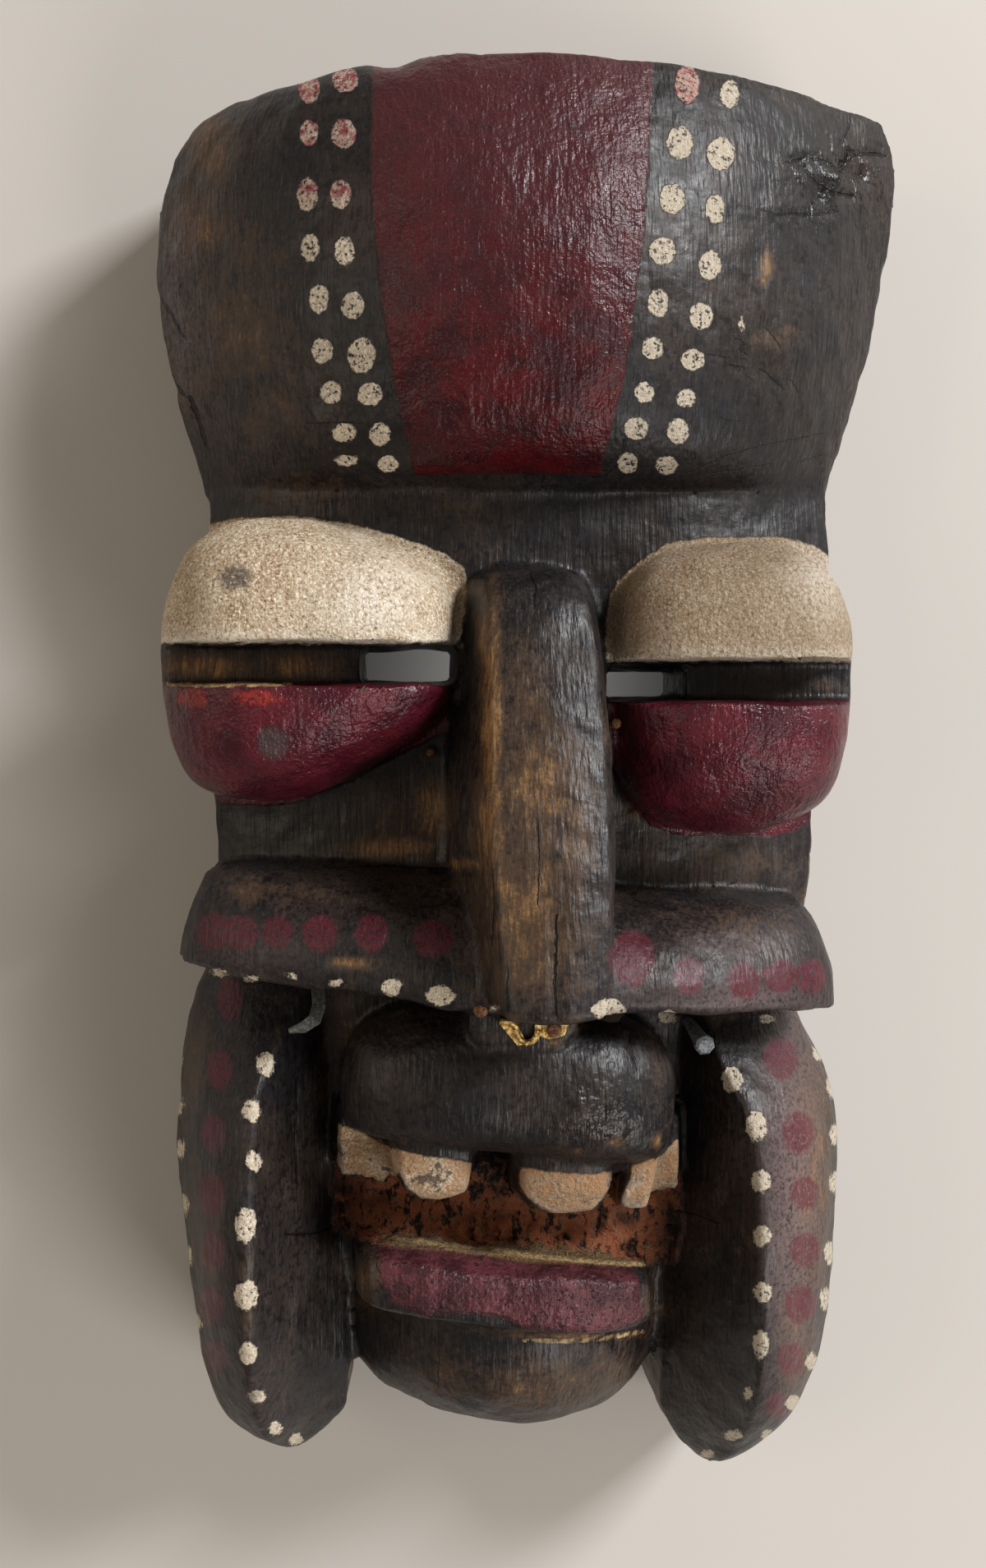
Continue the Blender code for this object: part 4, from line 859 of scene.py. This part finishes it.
def stained_wood(tree, looks):
    """Charcoal stain over brown, thinner and golden where hands have rubbed it, pale on worn
    ridges and black in the cuts."""
    stain = layered(tree, CHARCOAL, (looks.cloud, 0.38, 0.66, 1.0, BROWN_STAIN),
                    (looks.streaks, 0.52, 0.70, 0.6, WORN_STREAK),
                    (looks.pores, 0.50, 0.36, 0.95, PORE_BLACK),
                    (looks.grit, 0.60, 0.70, 0.45, GREY_GRIT),
                    (looks.crust, 0.48, 0.38, 0.8, CRUST_BLACK))
    rubbed = field(tree, "rubbed")
    for look, share in ((looks.mottle, 0.9), (looks.streaks, 0.75), (looks.grit, 0.75)):
        rubbed = calc(tree, "ADD", rubbed, from_middle(tree, look, share))
    bare = layered(tree, BARE_WOOD, (looks.streaks, 0.35, 0.65, 1.0, GOLDEN_WOOD),
                   (looks.speckle, 0.44, 0.34, 0.8, BARE_SPECK))
    colour = layered(tree, stain, (rubbed, 0.08, 0.50, 0.62, THIN_STAIN),
                     (rubbed, 0.42, 0.95, 1.0, bare))
    dusty = calc(tree, "MULTIPLY", field(tree, "dusty"), spread(tree, looks.grit, 0.34, 0.56))
    colour = blend(tree, dusty, colour, MAUVE_DUST)
    high = calc(tree, "ADD", looks.ridge, from_middle(tree, looks.mottle, 1.2))
    return layered(tree, colour, (high, 0.45, 1.0, 0.7, WORN_EDGE),
                   (looks.ridge, -0.25, -0.8, 0.8, CUT_BLACK))


MOUTH_BLACK = (0.014, 0.008, 0.007)
RUST_RED = (0.36, 0.115, 0.050)
CRUMB_BROWN = (0.28, 0.155, 0.080)
TOP_SHADE = (0.050, 0.028, 0.013)
TOP_WOOD = (0.230, 0.145, 0.062)
PAINTED_SHADE_BLACK = (0.0045, 0.0035, 0.003)


def lay_mouth(tree, looks, colour, mouth):
    """Bare crumbly wood stained rust red, with painted shade of the upper lip at the top; a raw
    strip along the lower lip's top edge; and painted shade in corners and under overhangs."""
    fibres = noise(tree, looks.place, 0.40, 5.0, 0.66, (1.0, 0.36, 1.0))
    # Darker towards the top, under the upper lip: painted shade of the lip
    fibres = calc(tree, "ADD", fibres, spread(tree, looks.up, -102, -92, 0.06, -0.13))
    rust = layered(tree, MOUTH_BLACK, (fibres, 0.47, 0.57, 1.0, RUST_RED),
                   (looks.crust, 0.52, 0.64, 0.7, CRUMB_BROWN))
    colour = blend(tree, calc(tree, "MULTIPLY", mouth, 0.92), colour, rust)
    raw = layered(tree, TOP_SHADE, (looks.pores, 0.38, 0.60, 1.0, TOP_WOOD))
    colour = blend(tree, painted(tree, looks, "raw_top", 1.6, 0.26, 1.0), colour, raw)
    # Painted shade, near black, in the corners and recesses and under the overhangs
    painted_shade = calc(tree, "MULTIPLY", field(tree, "painted_shade"), spread(tree, looks.mottle, 0.30, 0.50))
    return blend(tree, painted_shade, colour, PAINTED_SHADE_BLACK)


CRIMSON_DARK = (0.022, 0.0016, 0.0035)
CRIMSON = (0.060, 0.0014, 0.0035)
CRIMSON_SHEEN = (0.056, 0.015, 0.018)
CRIMSON_DEEP = (0.034, 0.0006, 0.0012)
CRIMSON_DIRTY = (0.022, 0.007, 0.009)
CRIMSON_SPECK = (0.17, 0.035, 0.032)
CRIMSON_PIT = (0.010, 0.003, 0.004)


def lay_stripe(tree, looks, colour, stripe):
    """Red paint of the forehead stripe: mottled, greyed towards the top with painted sheen, deep
    at the foot.
    """
    crimson = layered(tree, CRIMSON_DARK, (looks.blotch, 0.36, 0.64, 1.0, CRIMSON),
                      (looks.up, 96, 182, 0.85, CRIMSON_SHEEN),
                      # Greyed towards the top: painted sheen
                      (looks.up, 84, 66, 0.75, CRIMSON_DEEP),
                      (looks.mottle, 0.56, 0.72, 0.55, CRIMSON_DIRTY),
                      (looks.speckle, 0.58, 0.66, 0.55, CRIMSON_SPECK),
                      (looks.grit, 0.40, 0.30, 0.8, CRIMSON_PIT))
    return blend(tree, stripe, colour, crimson)


MAROON_DARK = (0.040, 0.0045, 0.009)
MAROON = (0.085, 0.009, 0.016)
MAROON_SPECK = (0.20, 0.035, 0.030)
BRIGHT_RED = (0.24, 0.022, 0.016)
PURPLE_DARK = (0.040, 0.009, 0.012)
PURPLE = (0.105, 0.028, 0.034)
PURPLE_PIT = (0.022, 0.010, 0.010)
SPLIT_SHADE = (0.14, 0.085, 0.038)
SPLIT_GOLD = (0.42, 0.29, 0.14)
DOT_RED_DARK = (0.055, 0.008, 0.014)
DOT_RED = (0.115, 0.013, 0.026)


def lay_reds(tree, looks, colour, lids, lip):
    """Thicker, glossy maroon on the lower lids with bright smears, purple on the lower lip
    with raw wood along its splits, and red dots that are rubbed thin."""
    maroon = layered(tree, MAROON_DARK, (looks.blotch, 0.36, 0.64, 1.0, MAROON),
                     (looks.speckle, 0.62, 0.72, 0.5, MAROON_SPECK))
    colour = blend(tree, lids, colour, maroon)
    smear = painted(tree, looks, "red_smear", 4.0, 0.40, 1.2)
    colour = blend(tree, calc(tree, "MULTIPLY", smear, 0.8), colour, BRIGHT_RED)
    purple = layered(tree, PURPLE_DARK, (looks.blotch, 0.40, 0.62, 1.0, PURPLE),
                     (looks.speckle, 0.42, 0.34, 0.8, PURPLE_PIT))
    colour = blend(tree, lip, colour, purple)
    gold = layered(tree, SPLIT_SHADE, (looks.streaks, 0.35, 0.6, 1.0, SPLIT_GOLD))
    colour = blend(tree, painted(tree, looks, "raw_edge", 1.3, 0.36, 0.35), colour, gold)
    dots = calc(tree, "MULTIPLY", painted(tree, looks, "red_dot", 2.4, 0.40, 1.1, 0.5), 0.78)
    thin = layered(tree, DOT_RED_DARK, (looks.speckle, 0.4, 0.6, 1.0, DOT_RED))
    return blend(tree, dots, colour, thin)


CREAM_DULL = (0.40, 0.285, 0.170)
CREAM = (0.54, 0.43, 0.30)
CREAM_GRAIN = (0.80, 0.73, 0.60)
OCHRE_GRAIN = (0.33, 0.205, 0.11)
SAND_PIT = (0.11, 0.070, 0.042)
LID_DIRT_AND_SHADE = (0.150, 0.098, 0.056)
CHALK_WHITE = (0.80, 0.75, 0.65)
TOOTH_OCHRE = (0.34, 0.175, 0.080)
TOOTH_DIRT = (0.050, 0.036, 0.028)
TOOTH_EDGE = (0.66, 0.60, 0.50)
DOT_PALE = (0.74, 0.69, 0.58)
DOT_ROSE = (0.27, 0.055, 0.070)
EDGE_DOT_PALE = (0.72, 0.66, 0.54)
SPOT_GREY = (0.055, 0.046, 0.044)


def lay_creams(tree, looks, colour, lids, teeth, dots, edge_dots):
    """Cream paint mixed with grit on the upper lids, the teeth and the dots; the cream is a darker
    tan on the right side and darker still beside the left side of the nose, where on the left
    lid it is painted shadow of the nose; the lids are chalky along the foot, some forehead dots
    are rose."""
    sand = noise(tree, looks.place, 1.15, 3.0, 0.8)
    cream = layered(tree, CREAM_DULL, (looks.blotch, 0.36, 0.66, 1.0, CREAM),
                    (sand, 0.52, 0.60, 0.9, CREAM_GRAIN),
                    (looks.speckle, 0.54, 0.62, 0.7, OCHRE_GRAIN),
                    (sand, 0.43, 0.35, 0.95, SAND_PIT))
    # Darker tan on the right side; beside the left side of the nose it is painted shadow of the
    # nose
    shade_and_dirt = calc(tree, "MAXIMUM", spread(tree, looks.across, 8, 14, 0.0, 0.34),
                  spread(tree, looks.across, -27, -17, 0.0, 0.62))
    cream = blend(tree, shade_and_dirt, cream, LID_DIRT_AND_SHADE)
    chalk = calc(tree, "MULTIPLY", field(tree, "chalk"), spread(tree, looks.grit, 0.40, 0.54))
    colour = blend(tree, lids, colour, blend(tree, chalk, cream, CHALK_WHITE))
    ivory = blend(tree, spread(tree, looks.mottle, 0.36, 0.60, 0.1, 0.75), cream, TOOTH_OCHRE)
    ivory = layered(tree, ivory, (looks.mottle, 0.43, 0.34, 0.85, TOOTH_DIRT),
                    (looks.ridge, 0.25, 0.9, 0.6, TOOTH_EDGE))
    colour = blend(tree, teeth, colour, ivory)
    rose = calc(tree, "MULTIPLY", field(tree, "pink"),
                spread(tree, looks.crust, 0.34, 0.60, 1.0, 0.35))
    colour = blend(tree, dots, colour,
                   blend(tree, rose, blend(tree, 0.40, cream, DOT_PALE), DOT_ROSE))
    colour = blend(tree, edge_dots, colour, blend(tree, 0.5, cream, EDGE_DOT_PALE))
    grey = painted(tree, looks, "grey_spot", 2.5, 0.36, 2.0)
    return blend(tree, calc(tree, "MULTIPLY", grey, 0.75), colour, SPOT_GREY)


CRACK_BLACK = (0.003, 0.0025, 0.0025)
HOLLOW_WOOD = (0.066, 0.038, 0.022)
HOLLOW_STREAK = (0.160, 0.094, 0.052)
HOLLOW_STAIN = (0.052, 0.033, 0.024)
HOLLOW_RIDGE = (0.22, 0.145, 0.085)


def crack_mask(tree, looks):
    """1 along the crack paths, within a half width that frays with the crust."""
    aside = calc(tree, "ADD", field(tree, "crack_side"), from_middle(tree, looks.crust, 1.4))
    aside = calc(tree, "DIVIDE", calc(tree, "ABSOLUTE", aside), field(tree, "crack_half"))
    return calc(tree, "MULTIPLY", spread(tree, aside, 1.1, 0.6),
                spread(tree, field(tree, "crack_near"), 1.8, 1.1))


def lay_hollow(tree, looks, colour):
    """Unpainted brown wood of the dug-out back, paler on the ridges between the cuts."""
    raw = layered(tree, HOLLOW_WOOD, (looks.streaks, 0.35, 0.65, 1.0, HOLLOW_STREAK),
                  (looks.cloud, 0.42, 0.62, 0.7, HOLLOW_STAIN),
                  (looks.ridge, 0.15, 0.9, 0.5, HOLLOW_RIDGE))
    return blend(tree, field(tree, "behind"), colour, raw)


def make_body_material():
    material, tree, shader, place = new_material("painted_carved_wood")
    looks = surface_looks(tree, place)
    mouth = painted(tree, looks, "mouth", 3.0, 0.26, 2.5)
    stripe = painted(tree, looks, "stripe", 2.2, 0.29, 0.9)
    lower = painted(tree, looks, "lower_lid", 1.8, 0.25, 0.8)
    lip = painted(tree, looks, "lip", 4.2, 0.35, 1.5)
    upper = painted(tree, looks, "upper_lid", 2.0, 0.24, 0.6)
    tooth = painted(tree, looks, "tooth", 1.6, 0.28, 0.6)
    dots = painted(tree, looks, "cream_dot", 1.7, 0.375, 0.3, 0.55)
    edge_dots = painted(tree, looks, "edge_dot", 2.8, 0.355, 0.35, 0.45)
    crack = crack_mask(tree, looks)
    lumpy = field(tree, "lumpy")

    colour = stained_wood(tree, looks)
    colour = lay_mouth(tree, looks, colour, mouth)
    colour = lay_stripe(tree, looks, colour, stripe)
    colour = lay_reds(tree, looks, colour, lower, lip)
    colour = lay_creams(tree, looks, colour, upper, tooth, dots, edge_dots)
    colour = blend(tree, crack, colour, CRACK_BLACK)
    colour = lay_hollow(tree, looks, colour)
    tree.links.new(colour, shader.inputs["Base Color"])

    gritty = calc(tree, "MAXIMUM", calc(tree, "MAXIMUM", upper, tooth),
                  calc(tree, "MAXIMUM", dots, edge_dots))
    glossy = calc(tree, "MAXIMUM", lower, calc(tree, "MULTIPLY", stripe, 0.75))
    rough = spread(tree, looks.mottle, 0.3, 0.7, 0.36, 0.54)
    for covered, change in ((gritty, 0.44), (mouth, 0.4), (lower, -0.15), (stripe, -0.08)):
        rough = calc(tree, "ADD", rough, calc(tree, "MULTIPLY", covered, change))
    rough = calc(tree, "ADD", rough, calc(tree, "MULTIPLY", lumpy, -0.16), clamp=True)
    tree.links.new(rough, shader.inputs["Roughness"])
    shader.inputs["Specular IOR Level"].default_value = 0.30

    # Relief too fine for the mesh: each pattern, the area that it covers, and its depth in
    # millimetres
    furrow = noise(tree, place, 0.85, 2.0, 0.5, (1.0, 0.10, 0.6))
    lump = noise(tree, place, 0.42, 2.0, 0.5)
    dent = noise(tree, place, 0.13, 2.0, 0.5)
    pimple = noise(tree, place, 1.15, 2.0, 0.5)
    crumble = noise(tree, place, 0.8, 4.0, 0.65)
    height = calc(tree, "MULTIPLY", furrow, 0.36)
    for relief, covered, deep in ((lump, None, 0.13), (dent, None, 0.75), (pimple, None, 0.06),
                                  (crumble, gritty, 1.3), (crumble, mouth, 2.8),
                                  (lump, glossy, 0.42), (pimple, glossy, 0.30),
                                  (lump, lip, 0.7), (pimple, lip, 0.3), (lump, lumpy, 0.7),
                                  (dent, lumpy, 1.9), (crack, None, -0.7),
                                  (gritty, None, 0.14)):
        share = calc(tree, "MULTIPLY", relief, deep)
        if covered:
            share = calc(tree, "MULTIPLY", share, covered)
        height = calc(tree, "ADD", height, share)
    add_bump(tree, shader, height, MM)
    return material


body = carve_body()
paint_fields(body)
body.data.materials.clear()
body.data.materials.append(make_body_material())
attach(body, "root")
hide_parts("mask")


# Nails: four round-headed nails of rusted iron, driven into the wood. Two stand under the
# tip of the nose, one of them through the brass, and a smaller one on each side of the nose.
RUST_DARK = (0.09, 0.035, 0.018)
RUST_PALE = (0.26, 0.12, 0.062)


def fitting_material(title, under, over, roughness, metallic):
    """Two colours in small patches, the paler one smoother, over a fine bump."""
    material, tree, shader, place = new_material(title)
    patch = noise(tree, place, 1.1, 5.0, 0.65)
    tree.links.new(layered(tree, under, (patch, 0.38, 0.64, 1.0, over)),
                   shader.inputs["Base Color"])
    tree.links.new(spread(tree, patch, 0.3, 0.7, roughness + 0.12, roughness - 0.1),
                   shader.inputs["Roughness"])
    shader.inputs["Metallic"].default_value = metallic
    add_bump(tree, shader, noise(tree, place, 2.6, 4.0), 0.25 * MM)
    return material


def dress(node, material):
    made = frame["nodes"][node]
    made.data.materials.clear()
    made.data.materials.append(material)


rusty_iron = fitting_material("rusty_iron", RUST_DARK, RUST_PALE, 0.55, 0.5)
for nail in ("nail_septum_left", "nail_septum_right", "nail_nose_left", "nail_nose_right"):
    dress(nail, rusty_iron)


# Hanger: a bent scrap of old brass, with a flat ear held by the right nail under the nose,
# a wire loop and a torn tab beside it. Scratched bright over brown tarnish.
TARNISH = (0.28, 0.15, 0.045)
BRIGHT_BRASS = (0.80, 0.56, 0.22)
dress("brass_hanger", fitting_material("old_brass", TARNISH, BRIGHT_BRASS, 0.38, 0.9))


# Peg: a short faceted stub of weathered grey wood, driven into a hole at the top of the
# right cheek flap.
PEG_SHADE = (0.06, 0.065, 0.07)
PEG_GREY = (0.23, 0.25, 0.27)
dress("peg", fitting_material("grey_peg_wood", PEG_SHADE, PEG_GREY, 0.55, 0.0))


# Strip: a short dark curl of leather or fibre, with its upper end let into the underside
# of the bar on the left, hanging free below it.
STRIP_DARK = (0.016, 0.016, 0.014)
STRIP_PALE = (0.062, 0.060, 0.050)
dress("fibre_strip", fitting_material("dark_fibre_strip", STRIP_DARK, STRIP_PALE, 0.6, 0.0))


# Floor: the plain pale surface that the mask lies on, faintly uneven in colour. It is part
# of the setting and not of the object.
FLOOR_HALF = 4.0
FLOOR_DULL = (0.49, 0.462, 0.43)
FLOOR_PALE = (0.54, 0.512, 0.48)


def make_floor():
    """A square of one face at the height 0."""
    mesh = bpy.data.meshes.new("floor")
    mesh.from_pydata([(-FLOOR_HALF, -FLOOR_HALF, 0), (FLOOR_HALF, -FLOOR_HALF, 0),
                      (FLOOR_HALF, FLOOR_HALF, 0), (-FLOOR_HALF, FLOOR_HALF, 0)],
                     [], [(0, 1, 2, 3)])
    floor = bpy.data.objects.new("floor", mesh)
    bpy.context.scene.collection.objects.link(floor)
    material, tree, shader, place = new_material("pale_floor")
    patch = noise(tree, place, 3.0 * MM, 4.0)
    tree.links.new(blend(tree, patch, FLOOR_DULL, FLOOR_PALE), shader.inputs["Base Color"])
    shader.inputs["Roughness"].default_value = 0.85
    mesh.materials.append(material)


make_floor()


# Light: soft daylight from a window at the upper right, weaker warm light from the room at
# the lower right and from the left, and a dim warm surround. A small lamp in the hollow
# keeps the floor that is seen through the eye holes pale.
LIGHTS = [
    ("window", (1.45, 1.22, 1.22), (0, 0, 0.05), 0.55, 62.0, (0.985, 0.99, 1.0)),
    ("room", (1.05, -1.0, 1.2), (0, -0.08, 0.05), 0.9, 19.0, (1.0, 0.97, 0.93)),
    ("far_wall", (-1.3, 0.2, 1.0), (0, 0, 0.05), 1.0, 6.0, (1.0, 0.86, 0.70)),
    ("behind_eyes", (0.0, 0.038, 0.042), (0, 0.038, 0), 0.03, 0.009, (0.95, 0.98, 1.0)),
]
SURROUND = (0.88, 0.80, 0.71, 1)
SURROUND_STRENGTH = 0.27


def add_light(title, place, aim, size, power, colour):
    """A square light of a size in metres and a power in watts, turned to face its aim."""
    data = bpy.data.lights.new(title, "AREA")
    data.size = size
    data.energy = power
    data.color = colour
    light = bpy.data.objects.new(title, data)
    bpy.context.scene.collection.objects.link(light)
    light.location = place
    light.rotation_mode = "QUATERNION"
    light.rotation_quaternion = (Vector(aim) - Vector(place)).to_track_quat("-Z", "Y")


for light in LIGHTS:
    add_light(*light)
world = bpy.data.worlds.new("surround")
world.use_nodes = True
world.node_tree.nodes["Background"].inputs[0].default_value = SURROUND
world.node_tree.nodes["Background"].inputs[1].default_value = SURROUND_STRENGTH
bpy.context.scene.world = world
bpy.context.scene.view_settings.view_transform = "Standard"
